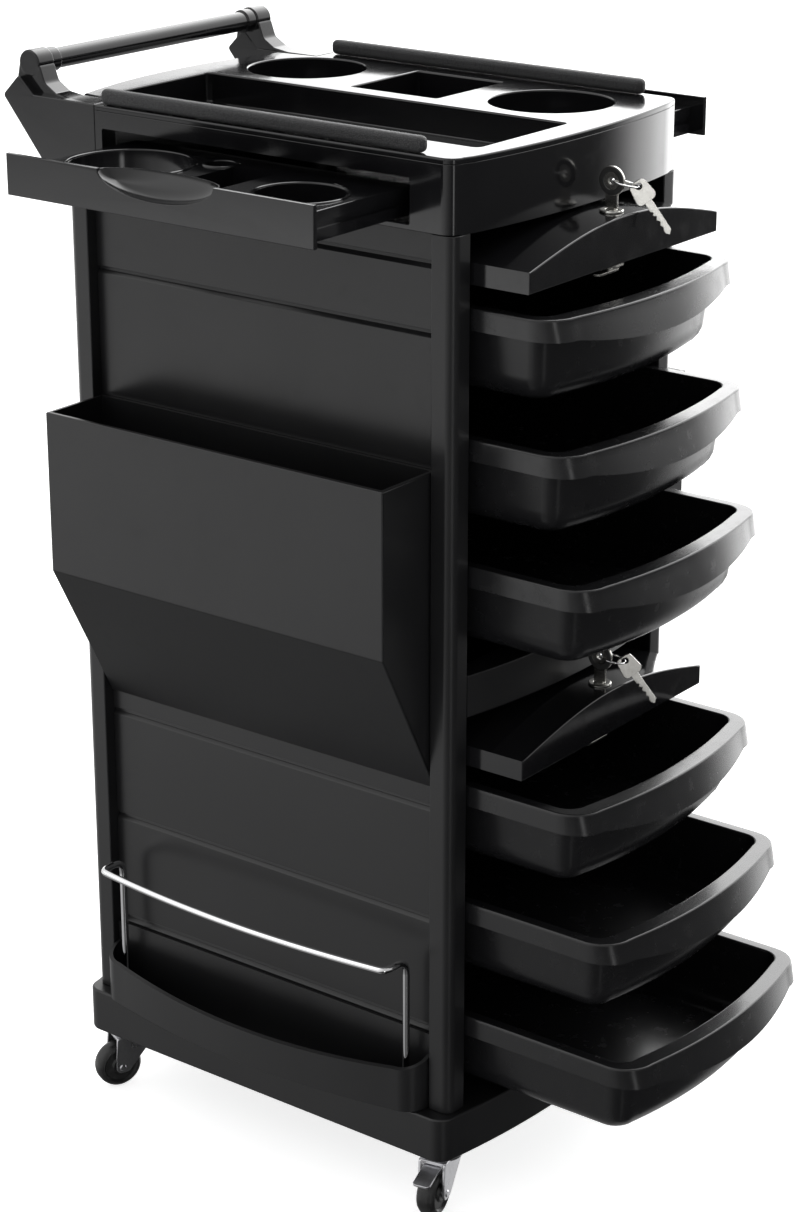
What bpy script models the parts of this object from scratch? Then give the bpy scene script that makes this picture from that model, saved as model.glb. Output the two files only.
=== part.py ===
"""Salon trolley cart: a cabinet on four swivel casters with six pull-out drawers, two stowed
pocket doors with cam locks, two side trays, side pockets, bottle shelves and a push handle.

Metres, +Z up. X runs across the cabinet, the drawers open towards -Y, the handle is at +Y.
Sizes are set in cabinet coordinates, whose origin is on the floor under the cabinet's centre;
the empty cart_frame then moves everything so that the origin is under the middle of the whole cart.
"""
import math

import bmesh
import bpy
from mathutils import Matrix, Vector

# ---------------------------------------------------------------- driving dimensions
TOUCH = 0.0003           # gap between pieces that touch
SLIDE = 0.0015           # clearance around pieces that slide

CAB_WIDTH = 0.292        # outside of the corner posts
CAB_DEPTH = 0.372
WHEEL_RADIUS = 0.020
CASTER_HEAD = 0.017      # fork head and mount plate above the wheel
BASE_HEIGHT = 0.038
BOX_HEIGHT = 0.055

POST_SIZE = 0.020
POST_RADIUS = 0.008
PANEL_INSET = 0.0095     # side panel behind the post's outer face
PANEL_THICK = 0.0035
GROOVE_WIDTH = 0.006
GROOVE_DEPTH = 0.0012

BASE_MARGIN_X = 0.012    # base beyond the posts
BASE_MARGIN_Y = 0.004
BASE_BOW = 0.014
BASE_WALL = 0.004
BASE_RADIUS = 0.014

BOX_WALL = 0.004
BOX_FLOOR = 0.003
BOX_BOW_FRONT = 0.012
BOX_BOW_REAR = 0.021
BOX_RADIUS = 0.012
BOX_STEP = 0.0015        # step where the bowed apron starts
LID_THICK = 0.004

RECESS_DEPTH = 0.024     # wells of the top tray
WELL_WALL = 0.0025
TOOL_WELL_WIDTH = 0.113
TOOL_WELL_EDGE = 0.012   # its edge on the +X side of the centre line
TOOL_WELL_SHORT = 0.022  # shorter than the cabinet
CUP_RADIUS = 0.048
CUP_X = 0.075
CUP_SHORT = 0.132        # cup spacing, shorter than the cabinet
SQUARE_WELL_X = 0.088
SQUARE_WELL_Y = 0.084

FENCE_WIDTH = 0.011
FENCE_HEIGHT = 0.012
FENCE_SHORT = 0.066      # shorter than the cabinet

SLOT_SHORT = 0.078       # mouth of each side tray, shorter than the cabinet
SLOT_PLAY = 0.002        # tray front in its mouth, each end
SIDE_TRAY_HEIGHT = 0.031
SIDE_TRAY_DEPTH = 0.128
SIDE_TRAY_OUT = 0.105    # how far it stands out at rest
SIDE_PANEL_THICK = 0.004
SIDE_TRAY_INSET = 0.013  # tray body inside the ends of its front
SIDE_TRAY_BODY = 0.022
SCOOP_WIDTH = 0.110
SCOOP_DEPTH = 0.018
BOWL_RADIUS = 0.046
COMB_RADIUS = 0.0105
TUMBLER_RADIUS = 0.033

ARM_THICK = 0.024
ARM_JOINT_Y = 0.032      # arm's front end, ahead of the cabinet's back
ARM_REACH = 0.065        # arm's tip behind the cabinet's back
BAR_RADIUS = 0.008
BAR_BEHIND = 0.041
BAR_ABOVE = 0.0225
BOSS_RADIUS = 0.0105

DRAWER_PITCH = 0.0975
DRAWER_COUNT = 3         # in each group
RIM_UNDER_DOOR = 0.017   # first drawer rim below the door's underside
TUB_CLEAR = 0.020        # lowest tub of the upper group above the middle rail
DECK_CLEAR = 0.013       # lowest tub above the base
DRAWER_SIDE_GAP = 0.002
DRAWER_DEPTH = 0.066
DRAWER_WALL = 0.0025
RIM_WIDTH = 0.010
RIM_FRONT = 0.015        # rim is wider along the front, where it is the pull
RIM_THICK = 0.003
SKIRT_MID = 0.026        # skirt's depth in the middle of the front
SKIRT_END = 0.0165       # at the corners, sides and back
SKIRT_FLARE = 0.006
DRAWER_BOW = 0.011
DRAWER_RADIUS = 0.025
DRAWER_SET_BACK = 0.030  # closed drawer corner behind the post's front
DRAWER_REAR_GAP = 0.022
DRAWER_OPEN = (0.103, 0.117, 0.134, 0.135, 0.164, 0.187)   # at rest, top to bottom

RAIL_HEIGHT = 0.034      # middle rail between the groups
RAIL_DEPTH = 0.016

DOOR_LENGTH = 0.330
DOOR_EDGE = 0.016
DOOR_CROWN = 0.0355
DOOR_WALL = 0.003
DOOR_CLEAR = 0.0025      # door's crown under the top box
DOOR_OUT = 0.050         # front edge ahead of the posts at rest
DOOR_SIDE_GAP = 0.002

LOCK_BEHIND = 0.015      # lock axis behind the door's front edge
LOCK_RADIUS = 0.007
LOCK_FLANGE_RADIUS = 0.009
LOCK_FLANGE = 0.0015
PLUG_RADIUS = 0.0045
CAM_LENGTH = 0.022
CAM_WIDTH = 0.010
CAM_THICK = 0.002
CAM_DROP = 0.009         # cam below the door
KEY_THICK = 0.002
KEY_BOW_RADIUS = 0.0110
KEY_HOLE_RADIUS = 0.0027
KEY_STEM = 0.021         # lock face to the bow's hole
KEY_BLADE_WIDTH = 0.0060
KEY_BLADE_DEPTH = 0.018
RING_RADIUS = 0.010
RING_WIRE = 0.0007
SPARE_LEAN = 34.0        # degrees from hanging straight down
SPARE_BOW_RADIUS = 0.0090
SPARE_BLADE = 0.030

POCKET_OUT = 0.0555      # lip beyond the posts
POCKET_TOP_DROP = 0.177  # top box to pocket rim
POCKET_STRAIGHT = 0.130
POCKET_SLOPE = 0.124
POCKET_WALL = 0.0035

SHELF_OUT = 0.035
SHELF_BACK_HEIGHT = 0.062
SHELF_LIP_END = 0.044
SHELF_LIP_MID = 0.031
SHELF_WALL = 0.003
SHELF_CORNER = 0.020
WIRE_RADIUS = 0.003
WIRE_HEIGHT = 0.127
WIRE_BEYOND = 0.006
WIRE_SPAN = 0.296

CASTER_INSET_X = 0.021
CASTER_INSET_Y = 0.021
CASTER_TRAIL = 0.017
WHEEL_WIDTH = 0.016
AXLE_RADIUS = 0.003
PLATE_SIZE = 0.042
PLATE_THICK = 0.0025
FORK_THICK = 0.0022
PEDAL_PIVOT = 0.001      # brake pedal's pin behind the axle
PEDAL_REACH = 0.026
PEDAL_DROP = 0.007
PEDAL_WIDTH = 0.015
PEDAL_THICK = 0.0022
PAD_MARGIN = 0.002       # base pad beyond its caster plate
UPPER_GROOVES = (0.028, 0.079)   # panel grooves below the top box
LOWER_GROOVES = (0.024, 0.118)   # and below the lower group's first rim
RACK_WALL_GAP = 0.0006   # rack wall outside the posts' inner faces
LEDGE_THICK = 0.0025
LEDGE_SHORT = 0.001      # ledge ends before the rack's
CUT_BEYOND = 0.01        # how far a cutter passes the surface it opens
WELL_SHIFT = 0.0015      # long well towards the back
SQUARE_WELL_SHIFT = 0.004
CUP_SHIFT = 0.0055
TUB_CORNER = 0.006
WELL_CORNER = 0.004
FENCE_INSET = 0.0005     # fence inside the post's outer face
FENCE_SHIFT = -0.0035
FENCE_CHAMFER = 0.001
WING_FOOT = 0.021        # handle arm's foot, behind the cabinet
BOSS_INSET = 0.006       # boss inside the arm's outer face
COLLAR_LENGTH = 0.010
COLLAR_PROUD = 0.0015
CASTER_TURN = (192.0, 155.0, 8.0, -20.0)   # trailing direction: front left, rear left, front right, rear right

# ---------------------------------------------------------------- levels and lines they give
HALF_W = CAB_WIDTH / 2
HALF_D = CAB_DEPTH / 2
SLOT_LENGTH = CAB_DEPTH - SLOT_SHORT
SIDE_TRAY_LENGTH = SLOT_LENGTH - 2 * SLOT_PLAY
TOOL_WELL_LENGTH = CAB_DEPTH - TOOL_WELL_SHORT
CUP_SPACING = CAB_DEPTH - CUP_SHORT
FENCE_LENGTH = CAB_DEPTH - FENCE_SHORT
DOOR_DROP = DOOR_CROWN + DOOR_CLEAR              # top box to door underside
FIRST_RIM_DROP = DOOR_DROP + RIM_UNDER_DOOR      # top box to first drawer rim
STACK = (DRAWER_COUNT - 1) * DRAWER_PITCH + DRAWER_DEPTH
RAIL_TOP_DROP = FIRST_RIM_DROP + STACK + TUB_CLEAR
GROUP_PITCH = RAIL_TOP_DROP + RAIL_HEIGHT + 0.001   # upper group to lower group
COLUMN_HEIGHT = GROUP_PITCH + FIRST_RIM_DROP + STACK + DECK_CLEAR
BASE_BOTTOM = 2 * WHEEL_RADIUS + CASTER_HEAD
DECK = BASE_BOTTOM + BASE_HEIGHT
BOX_BOTTOM = DECK + COLUMN_HEIGHT
TOP = BOX_BOTTOM + BOX_HEIGHT
LID_BOTTOM = TOP - LID_THICK
PANEL_X = HALF_W - PANEL_INSET
INNER_X = HALF_W - POST_SIZE
INNER_Y = HALF_D - POST_SIZE
ARM_FRONT = HALF_D - ARM_JOINT_Y
ARM_INNER = HALF_W - ARM_THICK
DOOR_HALF = INNER_X - DOOR_SIDE_GAP
DRAWER_HALF = INNER_X - DRAWER_SIDE_GAP
DRAWER_FRONT = -HALF_D + DRAWER_SET_BACK
DRAWER_BACK = HALF_D - DRAWER_REAR_GAP
LEDGE_FRONT = DRAWER_FRONT + DRAWER_RADIUS
RACK_BACK = DRAWER_BACK
LOCK_Y = -HALF_D - DOOR_OUT + LOCK_BEHIND

BACK_REACH = HALF_D + ARM_REACH
FRONT_REACH = -DRAWER_FRONT + DRAWER_BOW + SKIRT_FLARE + max(DRAWER_OPEN)
FRAME_SHIFT = (FRONT_REACH - BACK_REACH) / 2


# ---------------------------------------------------------------- materials
def material(name, colour, roughness, metallic=0.0):
    mat = bpy.data.materials.new(name)
    mat.use_nodes = True
    shader = mat.node_tree.nodes["Principled BSDF"]
    shader.inputs["Base Color"].default_value = (*colour, 1.0)
    shader.inputs["Roughness"].default_value = roughness
    shader.inputs["Metallic"].default_value = metallic
    return mat


for old in list(bpy.data.objects):
    bpy.data.objects.remove(old)

GLOSS = material("gloss_black", (0.012, 0.012, 0.013), 0.12)
SATIN = material("satin_black", (0.018, 0.018, 0.019), 0.42)
GRIP = material("textured_black", (0.05, 0.05, 0.052), 0.65)
CHROME = material("chrome", (0.85, 0.85, 0.86), 0.08, 1.0)
ZINC = material("zinc_plate", (0.72, 0.72, 0.73), 0.28, 1.0)
NICKEL = material("nickel", (0.78, 0.77, 0.74), 0.18, 1.0)
NYLON = material("black_nylon", (0.02, 0.02, 0.02), 0.45)

cart_frame = bpy.data.objects.new("cart_frame", None)
cart_frame.location = (0.0, FRAME_SHIFT, 0.0)
bpy.context.scene.collection.objects.link(cart_frame)


# ---------------------------------------------------------------- modelling helpers
def place(name, bm, mat, origin=(0, 0, 0), smooth=None):
    """Turn a bmesh in cabinet coordinates into an object whose origin is at the given point."""
    bmesh.ops.translate(bm, verts=bm.verts, vec=-Vector(origin))
    bmesh.ops.recalc_face_normals(bm, faces=bm.faces)
    mesh = bpy.data.meshes.new(name)
    bm.to_mesh(mesh)
    bm.free()
    mesh.materials.append(mat)
    if smooth is not None:
        mesh.shade_smooth()
        mesh.set_sharp_from_angle(angle=math.radians(smooth))
    obj = bpy.data.objects.new(name, mesh)
    obj.location = origin
    obj.parent = cart_frame
    bpy.context.scene.collection.objects.link(obj)
    return obj


def loft(loops):
    """Closed solid through loops of equally many points, capped at both ends."""
    bm = bmesh.new()
    rings = [[bm.verts.new(p) for p in loop] for loop in loops]
    for low, high in zip(rings, rings[1:]):
        for i in range(len(low)):
            j = (i + 1) % len(low)
            bm.faces.new((low[i], low[j], high[j], high[i]))
    bm.faces.new(rings[0])
    bm.faces.new(rings[-1])
    return bm


def upright(outline, low, high):
    return loft([[(x, y, z) for x, y in outline] for z in (low, high)])


def across(outline, low, high):
    """Profile in Y and Z, extruded along X."""
    return loft([[(x, y, z) for y, z in outline] for x in (low, high)])


def lengthwise(outline, low, high):
    """Profile in X and Z, extruded along Y."""
    return loft([[(x, y, z) for x, z in outline] for y in (low, high)])


def block(x0, x1, y0, y1, z0, z1):
    return upright([(x0, y0), (x1, y0), (x1, y1), (x0, y1)], z0, z1)


def circle(cx, cy, radius, steps):
    turn = 2 * math.pi / steps
    return [(cx + radius * math.cos(i * turn), cy + radius * math.sin(i * turn)) for i in range(steps)]


def disc(cx, cy, radius, z0, z1, steps=24):
    return upright(circle(cx, cy, radius, steps), z0, z1)


def merge(bm, *others):
    """Gather closed solids into one bmesh, for a cutter or a set of pieces to be joined."""
    for other in others:
        mesh = bpy.data.meshes.new("scratch")
        bmesh.ops.recalc_face_normals(other, faces=other.faces)
        other.to_mesh(mesh)
        other.free()
        bm.from_mesh(mesh)
        bpy.data.meshes.remove(mesh)
    return bm


def boolean(obj, name, bm, operation):
    """Keep a hidden operand beside the object and let a Boolean modifier use it."""
    tool = place(name, bm, obj.data.materials[0])
    tool.hide_render = True
    tool.display_type = "WIRE"
    modifier = obj.modifiers.new(name, "BOOLEAN")
    modifier.operation = operation
    modifier.object = tool
    modifier.solver = "EXACT"
    return modifier


def cut(obj, name, *solids):
    for i, bm in enumerate(solids):
        boolean(obj, f"{name}_cut_{i}", bm, "DIFFERENCE")


def join(obj, name, *solids):
    for i, bm in enumerate(solids):
        boolean(obj, f"{name}_join_{i}", bm, "UNION")


def mirror_x(outline):
    return [(-x, y) for x, y in reversed(outline)]


def plan(half_w, front, back, radius, bow_front=0.0, bow_back=0.0, corner=4, span=8):
    """Rounded rectangle whose front and back edges bow outwards."""
    def bowed(x, bow):
        return bow * (1 - (x / (half_w - radius)) ** 2)

    def arc(cx, cy, start):
        return [(cx + radius * math.cos(math.radians(start + 90 * i / corner)),
                 cy + radius * math.sin(math.radians(start + 90 * i / corner))) for i in range(corner + 1)]

    def edge(low, high):
        return [low + (high - low) * i / span for i in range(1, span)]

    flat = half_w - radius
    points = arc(-flat, front + radius, 180)
    points += [(x, front - bowed(x, bow_front)) for x in edge(-flat, flat)]
    points += arc(flat, front + radius, 270)
    points += arc(flat, back - radius, 0)
    points += [(x, back + bowed(x, bow_back)) for x in edge(flat, -flat)]
    points += arc(-flat, back - radius, 90)
    return points


def inset_plan(depth, half_w, front, back, radius, at_front=0.0, **rest):
    """Plan moved in by depth all round, and by at_front more along the front."""
    return plan(half_w - depth, front + depth + at_front, back - depth, max(radius - depth, 0.002), **rest)


# ---------------------------------------------------------------- base tray
def make_base():
    shape = dict(half_w=HALF_W + BASE_MARGIN_X, front=-HALF_D - BASE_MARGIN_Y, back=HALF_D + BASE_MARGIN_Y,
                 radius=BASE_RADIUS, bow_front=BASE_BOW, bow_back=BASE_BOW)
    outer = plan(**shape)
    inner = inset_plan(BASE_WALL, **shape)
    ceiling = DECK - BASE_WALL
    bm = loft([[(x, y, ceiling) for x, y in inner], [(x, y, BASE_BOTTOM) for x, y in inner],
               [(x, y, BASE_BOTTOM) for x, y in outer], [(x, y, DECK) for x, y in outer]])
    base = place("base_tray", bm, SATIN)
    half_pad = PLATE_SIZE / 2 + PAD_MARGIN
    pads = []
    for cx, cy in caster_centres():
        x_out = math.copysign(HALF_W + BASE_MARGIN_X - BASE_WALL / 2, cx)
        y_out = math.copysign(HALF_D + BASE_MARGIN_Y - BASE_WALL / 2, cy)
        x_in = cx - math.copysign(half_pad, cx)
        y_in = cy - math.copysign(half_pad, cy)
        xs = sorted((x_in, x_out))
        ys = sorted((y_in, y_out))
        corner = BASE_RADIUS / 2
        outline = [(xs[0], ys[0]), (xs[1], ys[0]), (xs[1], ys[1]), (xs[0], ys[1])]
        outline[outline.index((x_out, y_out))] = (x_out - math.copysign(corner, cx),
                                                  y_out - math.copysign(corner, cy))
        pads.append(upright(outline, BASE_BOTTOM, DECK - BASE_WALL / 2))
    join(base, "base_pad", merge(bmesh.new(), *pads))
    return base


def caster_centres():
    x = HALF_W - CASTER_INSET_X
    y = HALF_D - CASTER_INSET_Y
    return [(-x, -y), (-x, y), (x, -y), (x, y)]


# ---------------------------------------------------------------- posts, panels and racks
def make_posts():
    low = DECK + TOUCH
    high = BOX_BOTTOM - TOUCH
    for label_y, sy in (("front", -1), ("rear", 1)):
        for label_x, sx in (("left", -1), ("right", 1)):
            steps = 4
            centre = HALF_W - POST_RADIUS, HALF_D - POST_RADIUS
            round_corner = [(centre[0] + POST_RADIUS * math.cos(math.pi / 2 * i / steps),
                             centre[1] + POST_RADIUS * math.sin(math.pi / 2 * i / steps))
                            for i in range(steps + 1)]
            outline = [(INNER_X, INNER_Y), (HALF_W, INNER_Y)] + round_corner + [(INNER_X, HALF_D)]
            outline = [(sx * x, sy * y) for x, y in outline]
            place(f"post_{label_y}_{label_x}", upright(outline, low, high), SATIN, smooth=35)


def groove_levels():
    """Bottom edge of each horizontal groove, from the top box down to the shelf."""
    lower = BOX_BOTTOM - FIRST_RIM_DROP - GROUP_PITCH
    return ([BOX_BOTTOM - drop for drop in UPPER_GROOVES] + [lower - drop for drop in LOWER_GROOVES]
            + [DECK + SHELF_BACK_HEIGHT + LEDGE_SHORT])


def grooved(face, thickness, low, high):
    """Outline of a sheet with shallow grooves in its outer face: distance out, height."""
    points = [(face - thickness, low), (face, low)]
    for level in sorted(groove_levels()):
        points += [(face, level), (face - GROOVE_DEPTH, level + GROOVE_DEPTH / 2),
                   (face - GROOVE_DEPTH, level + GROOVE_WIDTH - GROOVE_DEPTH / 2),
                   (face, level + GROOVE_WIDTH)]
    return points + [(face, high), (face - thickness, high)]


def make_panels():
    low = DECK + TOUCH
    high = BOX_BOTTOM - TOUCH
    outline = grooved(PANEL_X, PANEL_THICK, low, high)
    y = INNER_Y - TOUCH
    for label, side in (("left", -1), ("right", 1)):
        place(f"side_panel_{label}", lengthwise([(side * x, z) for x, z in outline], -y, y), SATIN)
    back = grooved(HALF_D - PANEL_INSET, PANEL_THICK, low, high)
    x = INNER_X - TOUCH
    place("back_panel", across(back, -x, x), SATIN)


def rim_levels():
    top = BOX_BOTTOM - FIRST_RIM_DROP
    return [top - group * GROUP_PITCH - i * DRAWER_PITCH for group in range(2) for i in range(DRAWER_COUNT)]


def door_undersides():
    return [BOX_BOTTOM - DOOR_DROP, BOX_BOTTOM - DOOR_DROP - GROUP_PITCH]


def make_racks():
    """Inner wall on each side with a channel for every drawer rim and a ledge for each door."""
    outer = PANEL_X - PANEL_THICK - TOUCH
    inner = INNER_X + RACK_WALL_GAP
    ledge_in = DRAWER_HALF - RIM_WIDTH + 2 * DRAWER_WALL
    low = DECK + TOUCH
    high = BOX_BOTTOM - TOUCH
    ledge = LEDGE_THICK
    middle = (outer + inner) / 2
    for label, side in (("left", -1), ("right", 1)):
        wall = [(side * inner, low), (side * outer, low), (side * outer, high), (side * inner, high)]
        rack = place(f"runner_rack_{label}", lengthwise(wall, -INNER_Y + TOUCH, RACK_BACK), SATIN)
        ledges = []
        for rim in rim_levels():
            for z in (rim - SKIRT_END - TOUCH - ledge, rim + SLIDE / 2):
                xs = sorted((side * ledge_in, side * middle))
                ledges.append(block(*xs, LEDGE_FRONT, RACK_BACK - LEDGE_SHORT, z, z + ledge))
        for z in door_undersides():
            xs = sorted((side * ledge_in, side * middle))
            ledges.append(block(*xs, -INNER_Y + LEDGE_SHORT, RACK_BACK - LEDGE_SHORT, z - TOUCH - ledge, z - TOUCH))
        join(rack, f"rack_{label}", merge(bmesh.new(), *ledges))


def make_middle_rail():
    high = BOX_BOTTOM - RAIL_TOP_DROP
    low = high - RAIL_HEIGHT
    half = INNER_X - TOUCH
    steps = 10
    front = [(half * (2 * i / steps - 1), -HALF_D - BASE_BOW * (1 - (2 * i / steps - 1) ** 2))
             for i in range(steps + 1)]
    back = [(half, -HALF_D + RAIL_DEPTH), (-half, -HALF_D + RAIL_DEPTH)]
    place("middle_rail", upright(front + back, low, high), SATIN, smooth=35)


# ---------------------------------------------------------------- top box, top tray, fences
def box_plan(depth=0.0, step=True):
    """Box outline: plain rounded corners, then a bowed apron that starts with a small step."""
    extra = BOX_STEP if step else 0.0
    outline = inset_plan(depth, half_w=HALF_W, front=-HALF_D, back=HALF_D, radius=BOX_RADIUS,
                         bow_front=BOX_BOW_FRONT, bow_back=BOX_BOW_REAR)
    apron = HALF_W - BOX_RADIUS
    return [(x, y - extra if abs(x) < apron - 0.004 and y < 0 else y) for x, y in outline]


def arm_notches(low, high):
    """Room for the handle arms at the rear corners."""
    solids = []
    for side in (-1, 1):
        xs = sorted((side * (ARM_INNER - TOUCH), side * (HALF_W + 0.02)))
        solids.append(block(*xs, ARM_FRONT - TOUCH, HALF_D + 0.03, low, high))
    return solids


def slot_bounds():
    low = BOX_BOTTOM + BOX_FLOOR + 0.0005
    return low, low + SIDE_TRAY_HEIGHT + 2 * SLIDE


def make_top_box():
    wall_top = LID_BOTTOM - TOUCH
    outer = box_plan()
    inner = box_plan(BOX_WALL, step=False)
    floor = BOX_BOTTOM + BOX_FLOOR
    bm = loft([[(x, y, floor) for x, y in inner], [(x, y, wall_top) for x, y in inner],
               [(x, y, wall_top) for x, y in outer], [(x, y, BOX_BOTTOM) for x, y in outer]])
    box = place("top_box", bm, GLOSS, smooth=35)
    low, high = slot_bounds()
    half = SLOT_LENGTH / 2
    slots = [block(*sorted((side * (HALF_W - 2 * BOX_WALL), side * (HALF_W + 0.01))), -half, half, low, high)
             for side in (-1, 1)]
    cut(box, "box_slot", *slots)
    cut(box, "box_arm", *arm_notches(BOX_BOTTOM - CUT_BEYOND, TOP + CUT_BEYOND))
    return box


def well(x0, x1, y0, y1, low, high, radius):
    half_x = (x1 - x0) / 2
    centre = (x0 + x1) / 2
    outline = plan(half_x, y0, y1, radius, corner=3, span=1)
    return upright([(x + centre, y) for x, y in outline], low, high)


def top_wells():
    """Footprint of each well: two rectangles and two circles."""
    y = TOOL_WELL_LENGTH / 2
    return {
        "rects": [(TOOL_WELL_EDGE - TOOL_WELL_WIDTH, TOOL_WELL_EDGE, -y + WELL_SHIFT, y + WELL_SHIFT),
                  (CUP_X - SQUARE_WELL_X / 2, CUP_X + SQUARE_WELL_X / 2,
                   SQUARE_WELL_SHIFT - SQUARE_WELL_Y / 2, SQUARE_WELL_SHIFT + SQUARE_WELL_Y / 2)],
        "circles": [(CUP_X, CUP_SHIFT + side * CUP_SPACING / 2) for side in (-1, 1)],
    }


def make_top_tray():
    lid = place("top_tray", upright(box_plan(), LID_BOTTOM, TOP), GLOSS, smooth=35)
    floor = TOP - RECESS_DEPTH
    under = floor - WELL_WALL
    inside_lid = LID_BOTTOM + LID_THICK / 2
    tubs, holes = [], []
    for x0, x1, y0, y1 in top_wells()["rects"]:
        tubs.append(well(x0 - WELL_WALL, x1 + WELL_WALL, y0 - WELL_WALL, y1 + WELL_WALL, under, inside_lid,
                         TUB_CORNER))
        holes.append(well(x0, x1, y0, y1, floor, TOP + CUT_BEYOND, WELL_CORNER))
    for cx, cy in top_wells()["circles"]:
        tubs.append(disc(cx, cy, CUP_RADIUS + WELL_WALL, under, inside_lid, 32))
        holes.append(disc(cx, cy, CUP_RADIUS, floor, TOP + CUT_BEYOND, 32))
    join(lid, "tray_tub", merge(bmesh.new(), *tubs))
    cut(lid, "tray_well", merge(bmesh.new(), *holes))
    cut(lid, "tray_arm", *arm_notches(LID_BOTTOM - CUT_BEYOND, TOP + CUT_BEYOND))
    return lid


def make_fences():
    outer = HALF_W - FENCE_INSET
    half = FENCE_LENGTH / 2
    centre = FENCE_SHIFT
    for label, side in (("left", -1), ("right", 1)):
        outline = plan(FENCE_WIDTH / 2, centre - half, centre + half, FENCE_WIDTH / 2 - 0.0002, corner=5, span=1)
        shift = side * (outer - FENCE_WIDTH / 2)
        low = TOP + TOUCH
        slim = FENCE_CHAMFER
        loops = [[(x + shift, y, low) for x, y in outline],
                 [(x + shift, y, TOP + FENCE_HEIGHT - slim) for x, y in outline],
                 [(x * 0.8 + shift, y - math.copysign(slim, y), TOP + FENCE_HEIGHT) for x, y in outline]]
        place(f"fence_{label}", loft(loops), GRIP, smooth=35)


# ---------------------------------------------------------------- handle
def bar_axis():
    return HALF_D + BAR_BEHIND, TOP + BAR_ABOVE


def make_handle():
    bar_y, bar_z = bar_axis()
    low = BOX_BOTTOM + TOUCH
    tip_y = BACK_REACH
    wing = [(ARM_FRONT, low), (HALF_D + WING_FOOT, low), (tip_y, TOP - 0.003), (tip_y - 0.018, TOP + 0.014),
            (bar_y - 0.009, TOP), (ARM_FRONT, TOP)]
    neck = [(bar_y + 0.018, TOP - 0.01), (bar_y + BOSS_RADIUS, bar_z), (bar_y - BOSS_RADIUS, bar_z),
            (bar_y - 0.017, TOP + 0.010), (bar_y - 0.027, TOP + 0.002), (bar_y - 0.042, TOP - 0.004)]
    inner = ARM_INNER
    boss_outer = HALF_W - BOSS_INSET
    for label, side in (("left", -1), ("right", 1)):
        arm = place(f"handle_arm_{label}", across(wing, *sorted((side * inner, side * HALF_W))), GLOSS,
                    smooth=35)
        boss = across(circle(bar_y, bar_z, BOSS_RADIUS, 20), *sorted((side * inner, side * boss_outer)))
        rise = across(neck, *sorted((side * (inner + 0.0005), side * (boss_outer - 0.0005))))
        join(arm, f"arm_{label}", rise, boss)
    half = inner - TOUCH
    collar = half - COLLAR_LENGTH
    ring = BAR_RADIUS + COLLAR_PROUD
    loops = [[(x, y, z) for y, z in circle(bar_y, bar_z, r, 20)]
             for x, r in ((-half, ring), (-collar, ring), (-collar + 0.001, BAR_RADIUS),
                          (collar - 0.001, BAR_RADIUS), (collar, ring), (half, ring))]
    place("handle_bar", loft(loops), GLOSS, smooth=35)


# ---------------------------------------------------------------- side pull-out trays
def side_tray_wells():
    """Openings in a side tray: centre distance from its front, centre along Y, and size."""
    middle = SIDE_TRAY_DEPTH / 2 - 0.004
    half = SIDE_TRAY_LENGTH / 2
    bowl_y = half - SIDE_TRAY_INSET - BOWL_RADIUS - 0.009
    comb_y = bowl_y - BOWL_RADIUS - 0.009
    square_y = comb_y - COMB_RADIUS - 0.0235
    tumbler_y = TUMBLER_RADIUS + SIDE_TRAY_INSET + 0.011 - half
    return {"bowl": (middle, bowl_y, BOWL_RADIUS), "comb": (0.098, comb_y, COMB_RADIUS),
            "tumbler": (0.055, tumbler_y, TUMBLER_RADIUS), "square": (0.062, square_y, 0.070, 0.040)}


def make_side_trays():
    low, high = slot_bounds()
    low += SLIDE
    high -= SLIDE
    for label, side in (("left", -1), ("right", 1)):
        front = HALF_W + SIDE_TRAY_OUT
        half = SIDE_TRAY_LENGTH / 2
        steps = 8
        scoop = SCOOP_WIDTH / 2
        dip = [(scoop * math.cos(math.pi * i / steps), high - SCOOP_DEPTH * math.sin(math.pi * i / steps))
               for i in range(steps + 1)]
        face = [(-half, low), (half, low), (half, high)] + dip + [(-half, high)]
        panel = across(face, *sorted((side * (front - SIDE_PANEL_THICK), side * front)))
        tray = place(f"side_tray_{label}", panel, SATIN)
        body_top = low + SIDE_TRAY_BODY
        body_half = half - SIDE_TRAY_INSET
        back = front - SIDE_TRAY_DEPTH
        body = block(*sorted((side * back, side * (front - SIDE_PANEL_THICK / 2))), -body_half, body_half,
                     low + 0.0004, body_top)
        join(tray, f"side_tray_{label}", body)
        wells = side_tray_wells()
        holes = []
        for key, floor in (("bowl", low - 0.01), ("comb", low - 0.01), ("tumbler", low + 0.004)):
            distance, y, radius = wells[key]
            holes.append(disc(side * (front - distance), y, radius, floor, body_top + 0.01,
                              12 if key == "comb" else 28))
        distance, y, size_x, size_y = wells["square"]
        cx = side * (front - distance)
        holes.append(block(cx - size_x / 2, cx + size_x / 2, y - size_y / 2, y + size_y / 2,
                           low + 0.004, body_top + 0.01))
        cut(tray, f"side_tray_{label}", merge(bmesh.new(), *holes))


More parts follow.
